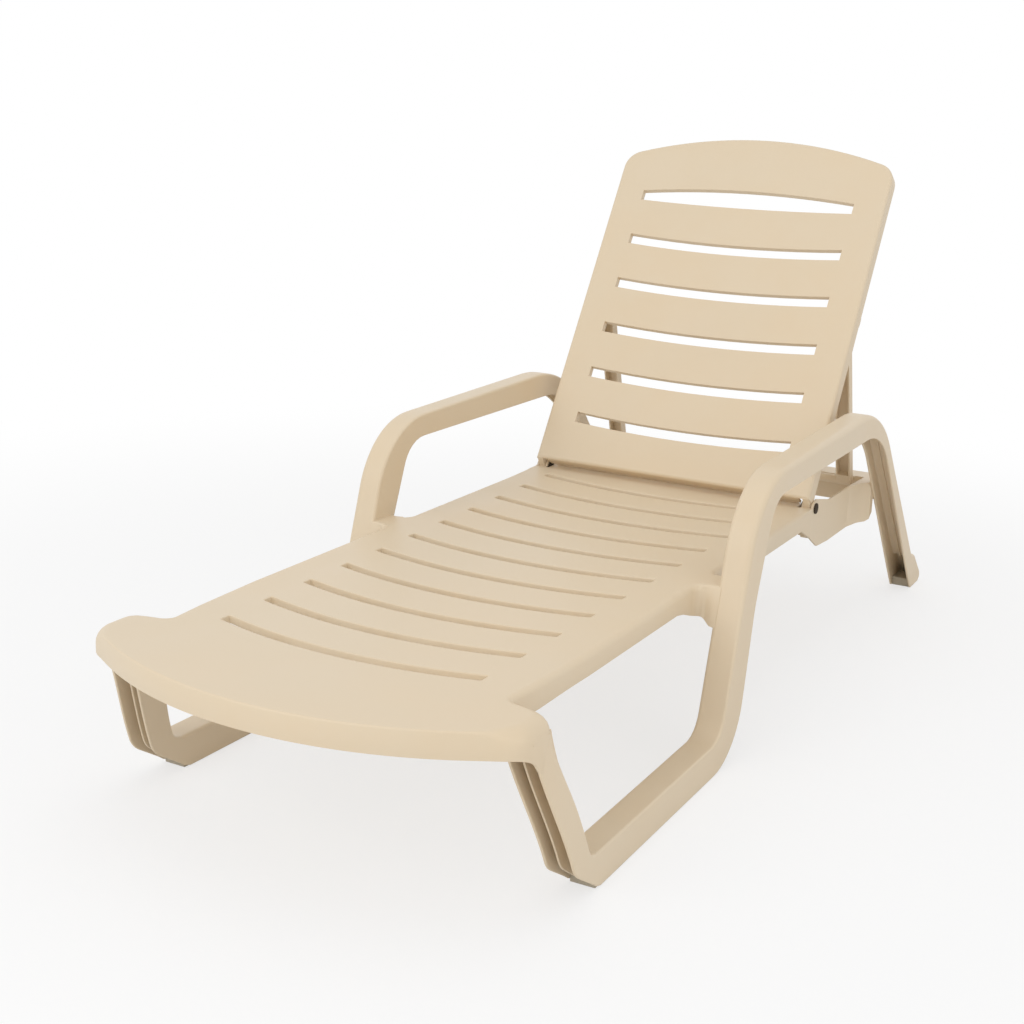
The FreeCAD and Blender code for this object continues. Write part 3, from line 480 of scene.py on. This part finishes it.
# ------------------------------------------------------------------ pieces
class Moulding:
    """A mesh under construction, in millimetres."""

    def __init__(self, name: str) -> None:
        """Start an empty mesh.

        Args:
            name: The piece's name.
        """
        self.name = name
        self.mesh = bmesh.new()

    def loop(self, places: Sequence[Vector]) -> list[bmesh.types.BMVert]:
        """Add a ring of vertices.

        Args:
            places: Their positions.

        Returns:
            The vertices.
        """
        return [self.mesh.verts.new(place * MM) for place in places]

    def skin(self, first: Sequence[bmesh.types.BMVert], second: Sequence[bmesh.types.BMVert]) -> None:
        """Join two rings of the same count with faces.

        Args:
            first: One ring.
            second: The other ring.
        """
        count = len(first)
        for index in range(count):
            after = (index + 1) % count
            self.mesh.faces.new((first[index], first[after], second[after], second[index]))

    def skins(self, rings: Sequence[Sequence[bmesh.types.BMVert]]) -> None:
        """Join rings one after the other."""
        for first, second in zip(rings, rings[1:]):
            self.skin(first, second)

    def fill(self, rings: Sequence[Sequence[bmesh.types.BMVert]]) -> None:
        """Fill the flat region between an outer ring and the rings of its holes.

        Args:
            rings: The outer ring and the hole rings.
        """
        edges = []
        for ring in rings:
            for index, vert in enumerate(ring):
                after = ring[(index + 1) % len(ring)]
                edges.append(self.mesh.edges.get((vert, after)) or self.mesh.edges.new((vert, after)))
        bmesh.ops.triangle_fill(self.mesh, use_beauty=True, use_dissolve=False, edges=edges)

    def build(self, material: bpy.types.Material, slot: Slot, body: str,
              stands_for: Sequence[str]) -> bpy.types.Object:
        """Turn the mesh into a piece of the lounger.

        Args:
            material: Its finish.
            slot: The record's material slot; not used.
            body: The body that it rides on.
            stands_for: CAD nodes that it replaces.

        Returns:
            The object.
        """
        bmesh.ops.recalc_face_normals(self.mesh, faces=self.mesh.faces)
        data = bpy.data.meshes.new(self.name)
        self.mesh.to_mesh(data)
        self.mesh.free()
        data.materials.append(material)
        data.shade_smooth()
        data.set_sharp_from_angle(angle=math.radians(SHARP_ANGLE))
        piece = bpy.data.objects.new(self.name, data)
        bpy.context.scene.collection.objects.link(piece)
        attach(piece, body)
        if stands_for:
            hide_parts(*stands_for)
        LOG.info("%s: %d faces on %s", self.name, len(data.polygons), body)
        return piece


@dataclass(frozen=True)
class RimPoint:
    """A point of a sheet's outline, with the rounding and the depth of the rim there."""

    x: float
    y: float
    rounding: float
    depth: float


@dataclass(frozen=True)
class SlatGap:
    """A bowed slot through a sheet, in millimetres."""

    middle: float
    width: float
    half: float
    sag: float
    corner: float = 2.2
    long_steps: int = 30
    corner_steps: int = 3

    def ring(self, margin: float) -> list[Vector]:
        """The slot's outline, grown by a margin.

        Args:
            margin: How far outside the slot's wall it lies.

        Returns:
            Points in the sheet's plane.
        """
        half, rise, corner = self.half + margin, self.width / 2 + margin, self.corner + margin
        flat: list[tuple[float, float]] = []
        for index in range(self.long_steps + 1):
            flat.append((-half + corner + (2 * half - 2 * corner) * index / self.long_steps, -rise))
        flat += arc_points((half - corner, corner - rise), corner, -90.0, 0.0, self.corner_steps)[1:-1]
        flat.append((half, -rise + corner))
        flat += [(x, -y) for x, y in reversed(flat[self.long_steps // 2 + 1:])]
        right = [point for point in flat if point[0] > 1e-6]
        left = [(-x, y) for x, y in reversed(right)]
        return [Vector((x, self.middle + y + self._bow(x), 0.0)) for x, y in right + left]

    def _bow(self, x: float) -> float:
        """How far the slot's walls lie from a straight slot's.

        Args:
            x: Place across the sheet.

        Returns:
            The shift along the sheet.
        """
        radius = (self.half ** 2 + self.sag ** 2) / (2 * abs(self.sag))
        reach = math.sqrt(radius ** 2 - x ** 2) - (radius - abs(self.sag))
        return math.copysign(reach, self.sag)


@dataclass
class SlattedSheet:
    """A moulded sheet with a rounded rim, a hollow underside and collared slots."""

    wall: float = 4.0
    slot_round: float = 1.8
    collar_depth: float = 12.0
    collar_wall: float = 3.0
    margin: float = 4.2
    rim_steps: int = 6
    lip: float = 0.9
    lip_mid: float = 0.3
    flat: float = 2.0  # strip inside the rounding, which keeps the shading crisp
    inner_fillet: float = 3.0
    slot_steps: int = 4
    collar_lip: float = 0.6
    collar_fillet: float = 0.8

    def build(self, moulding: Moulding, outline: Sequence[RimPoint], gaps: Sequence[SlatGap],
              place: Callable[[Vector], Vector]) -> None:
        """Add the sheet to a mesh.

        Args:
            moulding: The mesh.
            outline: The sheet's outline, anticlockwise from above.
            gaps: Its slots.
            place: Moves a point from the sheet's plane to the lounger.
        """
        normals = self._normals(outline)
        rings = [[place(spot) for spot in self._rim_ring(outline, normals, inset, drop)]
                 for inset, drop in self._rim_profile()]
        rim = [moulding.loop(ring) for ring in rings]
        moulding.skins(rim)
        tops, undersides = [rim[0]], [rim[-1]]
        for gap in gaps:
            collar = []
            for margin, drop in self._collar_profile():
                ring = [place(spot + Vector((0.0, 0.0, -drop))) for spot in gap.ring(margin)]
                collar.append(moulding.loop(ring))
            moulding.skins(collar)
            tops.append(collar[0])
            undersides.append(collar[-1])
        moulding.fill(tops)
        moulding.fill(undersides)

    @staticmethod
    def _normals(outline: Sequence[RimPoint]) -> list[Vector]:
        """Inward directions at the outline's points, scaled so that an offset keeps its width.

        Args:
            outline: The outline.

        Returns:
            One direction for each point.
        """
        count = len(outline)
        found = []
        for index, point in enumerate(outline):
            before, after = outline[index - 1], outline[(index + 1) % count]
            first = Vector((point.x - before.x, point.y - before.y)).normalized()
            second = Vector((after.x - point.x, after.y - point.y)).normalized()
            left = Vector((-first.y, first.x)) + Vector((-second.y, second.x))
            left.normalize()
            stretch = max(left.dot(Vector((-first.y, first.x))), 0.5)
            found.append(left / stretch)
        return found

    def _rim_profile(self) -> list[tuple[Callable[[RimPoint], float], Callable[[RimPoint], float]]]:
        """Inset and drop of each ring round the rim, from the top face to the underside.

        Returns:
            Pairs of functions of a rim point.
        """
        lip, wall, flat = self.lip, self.wall, self.flat
        mid = lip * self.lip_mid
        profile: list[tuple[Callable[[RimPoint], float], Callable[[RimPoint], float]]] = [
            (lambda p: p.rounding + flat, lambda p: 0.0)]
        for step in range(self.rim_steps + 1):
            angle = math.pi / 2 * step / self.rim_steps
            profile.append((lambda p, a=angle: p.rounding * (1 - math.sin(a)),
                            lambda p, a=angle: p.rounding * (1 - math.cos(a))))
        profile += [
            (lambda p: 0.0, lambda p: p.depth - lip),
            (lambda p: mid, lambda p: p.depth - mid),
            (lambda p: lip, lambda p: p.depth),
            (lambda p: wall - lip, lambda p: p.depth),
            (lambda p: wall - mid, lambda p: p.depth - mid),
            (lambda p: wall, lambda p: p.depth - lip),
            (lambda p: wall, lambda p: min(max(p.rounding, wall) + self.inner_fillet, p.depth - 2 * lip)),
            (lambda p: max(p.rounding, wall) + flat, lambda p: wall),
        ]
        return profile

    @staticmethod
    def _rim_ring(outline: Sequence[RimPoint], normals: Sequence[Vector],
                  inset: Callable[[RimPoint], float], drop: Callable[[RimPoint], float]) -> list[Vector]:
        """One ring round the rim.

        Args:
            outline: The outline.
            normals: Its inward directions.
            inset: How far inside the outline the ring lies at a point.
            drop: How far below the top face it lies there.

        Returns:
            The ring's points.
        """
        return [Vector((point.x + normal.x * inset(point), point.y + normal.y * inset(point), -drop(point)))
                for point, normal in zip(outline, normals)]

    def _collar_profile(self) -> list[tuple[float, float]]:
        """Margin and drop of each ring round a slot, from the top face to the underside.

        Returns:
            The pairs, in millimetres.
        """
        bend, depth, wall = self.slot_round, self.collar_depth, self.collar_wall
        profile = [(self.margin, 0.0)]
        for step in range(self.slot_steps + 1):
            angle = math.pi / 2 * step / self.slot_steps
            profile.append((bend * (1 - math.sin(angle)), bend * (1 - math.cos(angle))))
        lip = self.collar_lip
        profile += [(0.0, depth - lip), (lip, depth), (wall - lip, depth), (wall, depth - lip),
                    (wall, self.wall + self.collar_fillet), (self.margin, self.wall)]
        return profile


# ------------------------------------------------------------------ base
@dataclass(frozen=True)
class OuterFace:
    """Outer face that the side frames share with the ears of the foot-end panel."""

    reach: float = 354.8
    toe_in: float = 0.6
    toe_in_y: float = -374.0
    lean_low: float = 60.0
    lean_high: float = 244.0
    leg_end: float = -500.0
    ear_half: float = 333.9
    start: float = 0.55

    def at(self, y: float, z: float) -> float:
        """How far out the face lies.

        Args:
            y: Place along the lounger.
            z: Height.

        Returns:
            The distance from the middle plane.
        """
        reach = self.reach - (y - self.toe_in_y) * math.tan(math.radians(self.toe_in))
        if y > self.leg_end or z < self.lean_low:
            return reach
        share = min((z - self.lean_low) / (self.lean_high - self.lean_low), 1.0)
        bend = self.start * share + (3 - 2 * self.start) * share ** 2 + (self.start - 2) * share ** 3
        return reach - (reach - self.ear_half) * bend


@dataclass
class BaseTop:
    """Slatted deck, foot-end panel with its two ears, and the shelves that reach the arm posts."""

    face: OuterFace = OuterFace()
    height: float = 266.0
    front: float = -904.85
    front_radius: float = 560.0
    front_half: float = 275.0
    front_steps: int = 26
    front_corner: float = 42.0
    ear_half: float = 334.0
    ear_rear: float = -722.0
    ear_corner: float = 25.0
    neck_half: float = 267.0
    neck_corner: float = 12.0
    neck_length: float = 70.0
    neck_flare: float = 6.0
    neck_bend: float = 90.0
    deck_half: float = 278.0
    deck_bend: float = 160.0
    widening_end: float = -530.0
    corner: float = 346.0
    head: float = 374.6
    head_half: float = 252.0
    head_rim: tuple[float, float] = (3.4, 5.6)
    head_rim_flat: float = 0.2
    head_rim_gap: float = 8.0
    head_rim_steps: int = 8
    near: float = 1.0  # a point this close to an edge counts as on it
    shelf: tuple[float, float] = (-164.0, -112.0)
    shelf_end: float = 314.5
    shelf_root: float = 8.0
    shelf_run: tuple[float, float] = (75.0, 2.0)
    shelf_bends: tuple[float, float] = (27.0, 20.0)
    shelf_skirt: float = 49.0
    shelf_arch: float = 9.0
    shelf_reach: float = 34.0
    post_drop: float = 11.0
    post_span: tuple[float, float] = (286.0, 310.0)
    web_slope: float = 0.289
    slope_end: float = 5.9
    slope_span: tuple[float, float] = (2.0, 8.0)
    lean_end: float = 20.0
    lean_span: tuple[float, float] = (24.0, 6.0)
    skirt: float = 31.0
    front_skirt: float = 36.0
    sweep_start: float = -812.0
    sweep_length: float = 54.0
    ear_drop: float = 50.0
    ear_plain: tuple[float, float] = (30.0, 5.0)
    gusset: tuple[float, float] = (46.0, 22.0)
    head_round: float = 1.2
    shelf_round: float = 3.0
    side_round: float = 9.0
    side_round_loss: float = 3.0
    side_round_span: tuple[float, float] = (120.0, 30.0)
    front_round: float = 2.6
    dome_round: float = 22.0
    dome_span: tuple[float, float] = (284.0, 328.0)
    neck_root: float = 8.0
    dome_turn: tuple[float, float] = (-790.0, -745.0)
    slots: int = 11
    first_slot: float = -675.5
    pitch: float = 96.6
    slot_width: float = 19.0
    slot_half: float = 206.0
    slot_growth: float = 2.0
    slot_sag: float = -31.0
    outline_arc_step: float = 7.5
    outline_run_step: float = 24.0
    sheet: SlattedSheet = field(default_factory=SlattedSheet)

    def outline(self) -> list[RimPoint]:
        """Lay out the sheet's outline.

        Returns:
            Its points, anticlockwise from above, from the middle of the foot end.
        """
        centre = self.front + self.front_radius
        tangent = math.asin(self.front_half / self.front_radius)
        half: list[Corner] = []
        for index in range(self.front_steps + 1):
            angle = tangent * index / self.front_steps
            half.append(Corner(self.front_radius * math.sin(angle),
                               centre - self.front_radius * math.cos(angle)))
        ear_y = half[-1].v + (self.ear_half - self.front_half) * math.tan(tangent)
        shelf_front, shelf_rear = self.shelf
        front_bend, rear_bend = self.shelf_bends
        half += [
            Corner(self.ear_half, ear_y, self.front_corner),
            Corner(self.ear_half, self.ear_rear, self.ear_corner),
            Corner(self.neck_half, self.ear_rear, self.neck_corner),
            Corner(self.neck_half + self.neck_flare, self.ear_rear + self.neck_length, self.neck_bend),
            Corner(self.deck_half, self.widening_end, self.deck_bend),
            Corner(self.deck_half, shelf_front, front_bend),
            Corner(self.shelf_end, shelf_front), Corner(self.shelf_end, shelf_rear),
            Corner(self.deck_half, shelf_rear, rear_bend), Corner(self.deck_half, self.corner),
            Corner(self.head_half, self.corner), Corner(self.head_half, self.head), Corner(0.0, self.head),
        ]
        right = RoundedPath(half, arc_step=self.outline_arc_step, run_step=self.outline_run_step).points
        left = [Vector((-spot.x, spot.y)) for spot in reversed(right[1:-1])]
        return [RimPoint(spot.x, spot.y, self._rounding(spot), self._depth(spot)) for spot in right + left]

    def _rounding(self, spot: Vector) -> float:
        """Radius of the rim's top edge at a point of the outline.

        Args:
            spot: The point.

        Returns:
            The radius in millimetres.
        """
        x, y = abs(spot.x), spot.y
        fade_start, fade_end = (self.corner - before for before in self.side_round_span)
        if y > self.head - self.near:
            return self.head_round
        if y > fade_end or (x > self.deck_half + self.shelf_root and y > self.widening_end):
            return self.shelf_round
        if y > self.widening_end:
            return self.side_round - self.side_round_loss * eased(y, fade_start, fade_end)
        dome_start, dome_end = self.dome_span
        front = self.front_round + (self.dome_round - self.front_round) * eased(x, dome_start, dome_end)
        neck_start = self.neck_half + self.neck_root
        rear = self.side_round + (self.dome_round - self.side_round) * eased(x, neck_start, dome_end)
        return front + (rear - front) * eased(y, *self.dome_turn)

    def _depth(self, spot: Vector) -> float:
        """Depth of the rim at a point of the outline.

        Args:
            spot: The point.

        Returns:
            The depth in millimetres.
        """
        x, y = abs(spot.x), spot.y
        plain_before, plain_after = self.ear_plain
        if y < self.ear_rear - plain_before:
            share = min(max((y - self.sweep_start) / self.sweep_length, 0.0), 1.0)
            return self.front_skirt + self.ear_drop * (1 - math.sqrt(1 - share ** 2))
        if y < self.ear_rear + plain_after:
            return self.front_skirt
        length, drop = self.gusset
        if y > self.corner - length and x > self.head_half:
            return self.skirt + drop * eased(y, self.corner - length, self.corner)
        shelf_front, shelf_rear = self.shelf
        if self.widening_end < y < (shelf_front + shelf_rear) / 2:
            run_start, run_end = (shelf_front - before for before in self.shelf_run)
            deeper = (self.shelf_skirt - self.skirt) * eased(y, run_start, run_end)
            return self.skirt + deeper + self.post_drop * eased(x, *self.post_span)
        if x > self.deck_half + self.near and self.widening_end < y:
            share = min((x - self.deck_half) / self.shelf_reach, 1.0)
            return self.skirt - self.shelf_arch * math.sin(math.pi * share)
        return self.skirt + (self.front_skirt - self.skirt) * (1 - eased(y, self.ear_rear, self.widening_end))

    def placed(self, spot: Vector) -> Vector:
        """Move a point of the sheet to the lounger.

        The ears' skirts lean with the legs below them, and the shelves' front walls with the posts' webs.

        Args:
            spot: The point, with its drop below the top face as a negative z.

        Returns:
            Its place on the lounger.
        """
        x, y, z = abs(spot.x), spot.y, self.height + spot.z
        if y < self.ear_rear + self.lean_end:
            lean = self.face.at(y, z) - self.face.ear_half
            x += lean * eased(x, *(self.ear_half - before for before in self.lean_span))
        elif self.widening_end < y < self.shelf[0] + self.slope_end:
            after_deck, before_post = self.slope_span
            share = eased(x, self.deck_half + after_deck, self.shelf_end - before_post)
            y += self.web_slope * spot.z * share
        return Vector((math.copysign(x, spot.x), y, z))

    def _build_head_rim(self, moulding: Moulding) -> None:
        """Add the low rim that stands along the deck's head end, under the back's lower edge.

        Args:
            moulding: The mesh.
        """
        thick, rise = self.head_rim
        bend = thick / 2 - self.head_rim_flat
        centre, root = self.head - thick / 2, self.height - self.sheet.wall / 2
        section = [(self.head, root)]
        for step in range(self.head_rim_steps + 1):
            angle = math.pi * step / self.head_rim_steps
            top = self.height + rise - bend + bend * math.sin(angle)
            section.append((centre + thick / 2 * math.cos(angle), top))
        section.append((self.head - thick, root))
        end = self.head_half - self.head_rim_gap
        ends = [moulding.loop([Vector((x, y, z)) for y, z in section]) for x in (-end, end)]
        moulding.skins(ends)
        for ring in ends:
            moulding.fill([ring])

    def gaps(self) -> list[SlatGap]:
        """The deck's slots, from the foot end."""
        return [SlatGap(self.first_slot + index * self.pitch, self.slot_width,
                        self.slot_half + index * self.slot_growth, self.slot_sag)
                for index in range(self.slots)]

    def build(self, resin: bpy.types.Material) -> None:
        """Make the piece.

        Args:
            resin: Its finish.
        """
        moulding = Moulding("base_top")
        self.sheet.build(moulding, self.outline(), self.gaps(), self.placed)
        self._build_head_rim(moulding)
        nodes = ["seat_deck", "foot_end_panel"] + [f"arm_bridge_{side.word}" for side in Side]
        moulding.build(resin, Slot.RESIN, "base", nodes)


@dataclass
class SideFrame:
    """One side of the base: front leg, runner, arm post, armrest and rear leg in one channel."""

    side: Side
    face: OuterFace = OuterFace()
    width: float = 43.0
    wall: float = 4.0
    rib_share: float = 0.90
    rear_rib: float = 9.0
    rib_place: float = 24.0
    crisp_round: float = 4.0
    rear_round: float = 7.5
    arm_round: float = 11.0
    ear_round: float = 21.0
    inner_round: float = 5.0
    root_round: float = 2.5
    edge_bead: float = 1.5
    rib_half: float = 1.5
    rib_bevel: float = 1.0
    rib_least: float = 3.0
    land: float = 2.0  # flat strip beside each rounding, which keeps the shading crisp
    root_land: float = 1.0
    foot_end: float = -600.0
    rear_round_span: tuple[float, float] = (400.0, 600.0)
    ear_round_span: tuple[float, float] = (120.0, 240.0)
    arm_round_span: tuple[float, float] = (110.0, 390.0)
    rear_rib_span: tuple[float, float] = (380.0, 520.0)
    web: tuple[Corner, ...] = (
        Corner(-723.5, 244.5), Corner(-718.0, 228.0, 60.0), Corner(-661.0, 52.0, 22.0),
        Corner(-225.0, 52.0, 45.0), Corner(-118.0, 422.0, 145.0), Corner(501.0, 434.0, 240.0),
        Corner(822.0, 73.0, 14.0), Corner(846.0, 68.0, 16.0), Corner(910.0, 10.0, 10.0), Corner(891.0, 1.0))
    lip: tuple[Corner, ...] = (
        Corner(-782.0, 244.5), Corner(-705.0, 47.0, 42.0), Corner(-654.0, 14.0, 34.0),
        Corner(-636.0, 1.0, 8.0),
        Corner(-159.0, 1.0, 105.0), Corner(-114.0, 228.0, 200.0), Corner(-54.0, 385.0, 62.0),
        Corner(513.0, 386.0, 190.0), Corner(795.0, 40.0, 30.0), Corner(829.0, 1.0))

    def stations(self) -> list[tuple[Vector, Vector]]:
        """Matching places on the closed and the open edge, from the front leg to the rear foot."""
        web = RoundedPath(self.web, arc_step=2.0)
        lip = RoundedPath(self.lip, arc_step=2.0)
        anchors = [
            (0.0, 0.0, 0), (web.marks[2], lip.marks[2], 34), (web.marks[3], lip.marks[4], 34),
            (web.marks[4], lip.marks[6], 36), (web.marks[5], lip.marks[7], 40),
            (web.marks[6], lip.marks[8], 34), (web.marks[-1], lip.marks[-1], 22),
        ]
        pairs = [(web.at(0.0), lip.at(0.0))]
        for (web_a, lip_a, _), (web_b, lip_b, steps) in zip(anchors, anchors[1:]):
            for step in range(1, steps + 1):
                share = step / steps
                pairs.append((web.at(web_a + (web_b - web_a) * share), lip.at(lip_a + (lip_b - lip_a) * share)))
        return pairs

    def edge_round(self, spot: Vector) -> float:
        """Radius of the channel's outer edge at a place on its closed edge.

        Args:
            spot: The place.

        Returns:
            The radius in millimetres.
        """
        low = self.crisp_round + (self.rear_round - self.crisp_round) * eased(spot.x, *self.rear_round_span)
        if spot.x < self.foot_end:
            return low + (self.ear_round - low) * eased(spot.y, *self.ear_round_span)
        return low + (self.arm_round - low) * eased(spot.y, *self.arm_round_span)

    def rib_depth(self, spot: Vector, depth: float) -> float:
        """Depth of the middle rib at a place on the closed edge.

        Args:
            spot: The place.
            depth: How deep the channel is there.

        Returns:
            The depth from the closed face.
        """
        full = max(depth * self.rib_share, self.wall + self.rib_least)
        return full + (self.rear_rib - full) * eased(spot.x, *self.rear_rib_span)

    def section(self, depth: float, outer: float, rib: float) -> list[tuple[float, float]]:
        """Ring of the channel's section, as depth from the closed face and distance from the outer face.

        Args:
            depth: How deep the channel is here.
            outer: Radius of its outer edge.
            rib: Depth of its middle rib.

        Returns:
            The ring's points.
        """
        width, wall, bead, land = self.width, self.wall, self.edge_bead, self.land
        inner, root, bevel = self.inner_round, self.root_round, self.rib_bevel
        rib_low, rib_high = self.rib_place - self.rib_half, self.rib_place + self.rib_half
        floor, tip = wall + root, depth - bead
        root_end = floor + self.root_land
        return [
            (tip - land, 0.0), (outer + land, 0.0),
            *arc_points((outer, outer), outer, 270.0, 180.0, 7),
            (0.0, outer + land), (0.0, width - inner - land),
            *arc_points((inner, width - inner), inner, 180.0, 90.0, 5),
            (inner + land, width), (tip - land, width),
            *arc_points((tip, width - bead), bead, 90.0, 0.0, 3),
            *arc_points((tip, width - wall + bead), bead, 0.0, -90.0, 3),
            (tip - land, width - wall), (root_end, width - wall),
            *arc_points((floor, width - wall - root), root, 90.0, 180.0, 3),
            *arc_points((floor, rib_high + root), root, 180.0, 270.0, 3),
            (rib - bevel, rib_high), (rib, rib_high - bevel),
            (rib, rib_low + bevel), (rib - bevel, rib_low),
            *arc_points((floor, rib_low - root), root, 90.0, 180.0, 3),
            *arc_points((floor, floor), root, 180.0, 270.0, 3),
            (root_end, wall), (tip - land, wall),
            *arc_points((tip, wall - bead), bead, 90.0, 0.0, 3),
            *arc_points((tip, bead), bead, 0.0, -90.0, 3),
        ]

    def build(self, resin: bpy.types.Material) -> None:
        """Make the piece.

        Args:
            resin: Its finish.
        """
        moulding = Moulding(f"side_frame_{self.side.word}")
        rings = []
        for closed_edge, open_edge in self.stations():
            across = open_edge - closed_edge
            depth = across.length
            across.normalize()
            places = []
            rib = self.rib_depth(closed_edge, depth)
            for deep, offset in self.section(depth, self.edge_round(closed_edge), rib):
                spot = closed_edge + across * deep
                x = (self.face.at(spot.x, spot.y) - offset) * self.side.value
                places.append(Vector((x, spot.x, spot.y)))
            rings.append(moulding.loop(places))
        moulding.skins(rings)
        for end in (rings[0], rings[-1]):
            moulding.fill([end])
        nodes = [f"{name}_{self.side.word}" for name in
                 ("front_leg", "ground_runner", "arm_post", "armrest", "rear_leg")]
        moulding.build(resin, Slot.RESIN, "base", nodes)


# ------------------------------------------------------------------ carried-over pieces
@dataclass
class CarriedPieces:
    """Pieces whose modelled shape is kept, dressed in the right finish."""

    finishes: Mapping[Slot, bpy.types.Material]

    def dress(self) -> None:
        """Give each kept piece its material."""
        slots = {entry["node"]: Slot(entry["material_slot"]) for entry in frame["record"]["subparts"]}
        for name, piece in frame["nodes"].items():
            material = self.finishes[slots[name]]
            for slot in piece.material_slots:
                slot.material = material
            if not piece.material_slots:
                piece.data.materials.append(material)
            LOG.info("%s keeps its shape in %s", name, material.name)


# ------------------------------------------------------------------ stage
@dataclass(frozen=True)
class SoftLight:
    """A square soft light, with its side in metres and its power in watts."""

    name: str
    place: tuple[float, float, float]
    target: tuple[float, float, float]
    size: float
    power: float

    def build(self) -> None:
        """Hang the light at its place, facing its target."""
        data = bpy.data.lights.new(self.name, "AREA")
        data.shape = "SQUARE"
        data.size = self.size
        data.energy = self.power
        lamp = bpy.data.objects.new(self.name, data)
        lamp.location = self.place
        aim = Vector(self.target) - Vector(self.place)
        lamp.rotation_mode = "QUATERNION"
        lamp.rotation_quaternion = aim.to_track_quat("-Z", "Y")
        bpy.context.scene.collection.objects.link(lamp)


@dataclass
class Studio:
    """Pale floor, soft lights and the camera."""

    surroundings: float = 0.76
    floor_half: float = 14.0
    floor_colour: Colour = (0.90, 0.90, 0.90)
    floor_roughness: float = 0.9
    floor_specular: float = 0.1
    floor_white: float = 0.66
    floor_fade: tuple[float, float] = (0.9, 2.4)
    lights: tuple[SoftLight, ...] = (
        SoftLight("key", (-0.9, -3.7, 2.0), (0.0, -0.1, 0.2), 2.6, 34.0),
        SoftLight("side", (3.4, -1.2, 1.7), (0.1, 0.0, 0.3), 2.4, 12.0),
        SoftLight("crown", (0.2, -0.4, 4.0), (0.0, 0.0, 0.0), 3.0, 12.0))
    camera_place: tuple[float, float, float] = (1.1329, -2.2912, 0.9963)
    yaw: float = 28.98
    pitch: float = 15.44
    roll: float = 1.67
    lens: float = 56.0
    sensor: float = 36.0

    def build(self) -> None:
        """Make the whole stage."""
        self._world()
        self._floor()
        for light in self.lights:
            light.build()
        self._camera()

    def _world(self) -> None:
        """Soft grey surroundings that the camera, gloss and glass see as white."""
        world = bpy.data.worlds.new("studio")
        bpy.context.scene.world = world
        graph = ShaderGraph(world)
        rays = [graph.node("ShaderNodeLightPath", {}, {}, name)
                for name in ("Is Camera Ray", "Is Glossy Ray", "Is Transmission Ray")]
        seen = (rays[0] + rays[1] + rays[2]).clamped()
        strength = self.surroundings + seen * (1.0 - self.surroundings)
        backdrop = graph.node("ShaderNodeBackground", {}, {"Color": (1.0, 1.0, 1.0, 1.0), "Strength": strength})
        graph.finish(backdrop, "ShaderNodeOutputWorld")

    def _floor(self) -> None:
        """A wide plain floor that fades to white away from the lounger."""
        mesh = bmesh.new()
        bmesh.ops.create_grid(mesh, x_segments=8, y_segments=8, size=self.floor_half)
        data = bpy.data.meshes.new("floor")
        mesh.to_mesh(data)
        mesh.free()
        floor = bpy.data.objects.new("floor", data)
        bpy.context.scene.collection.objects.link(floor)
        material = bpy.data.materials.new("pale_floor")
        graph = ShaderGraph(material)
        place = graph.place()
        distance = graph.node("ShaderNodeVectorMath", {"operation": "LENGTH"}, {0: place}, "Value")
        camera = graph.node("ShaderNodeLightPath", {}, {}, "Is Camera Ray")
        fade = self.floor_white + graph.between(distance, *self.floor_fade) * (1.0 - self.floor_white)
        matt = graph.node("ShaderNodeBsdfPrincipled", {}, {
            "Base Color": opaque(self.floor_colour), "Roughness": self.floor_roughness,
            "Specular IOR Level": self.floor_specular})
        white = graph.node("ShaderNodeEmission", {}, {"Color": (1.0, 1.0, 1.0, 1.0), "Strength": 1.0})
        graph.finish(graph.node("ShaderNodeMixShader", {}, {0: fade * camera, 1: matt, 2: white}))
        data.materials.append(material)

    def _camera(self) -> None:
        """Place the camera."""
        yaw, pitch, roll = (math.radians(angle) for angle in (self.yaw, self.pitch, self.roll))
        ahead = Vector((-math.sin(yaw) * math.cos(pitch), math.cos(yaw) * math.cos(pitch), -math.sin(pitch)))
        level = Vector((math.cos(yaw), math.sin(yaw), 0.0))
        upright = level.cross(ahead)
        right = math.cos(roll) * level + math.sin(roll) * upright
        above = -math.sin(roll) * level + math.cos(roll) * upright
        turn = Matrix((right, above, -ahead)).transposed().to_4x4()
        data = bpy.data.cameras.new("camera")
        data.sensor_width = self.sensor
        data.lens = self.lens
        camera = bpy.data.objects.new("camera", data)
        camera.matrix_world = Matrix.Translation(self.camera_place) @ turn
        bpy.context.scene.collection.objects.link(camera)
        bpy.context.scene.camera = camera
        bpy.context.scene.view_settings.view_transform = "Standard"


def main() -> None:
    """Build and dress the lounger, then set the stage."""
    logging.basicConfig(level=logging.INFO, format="%(message)s")
    finishes = {Slot.RESIN: ResinFinish().build(), Slot.PAD: PadFinish().build(), Slot.PIN: PinFinish().build()}
    CarriedPieces(finishes).dress()
    resin = finishes[Slot.RESIN]
    BaseTop().build(resin)
    for side in Side:
        SideFrame(side).build(resin)
    Studio().build()


if __name__ == "__main__":
    main()
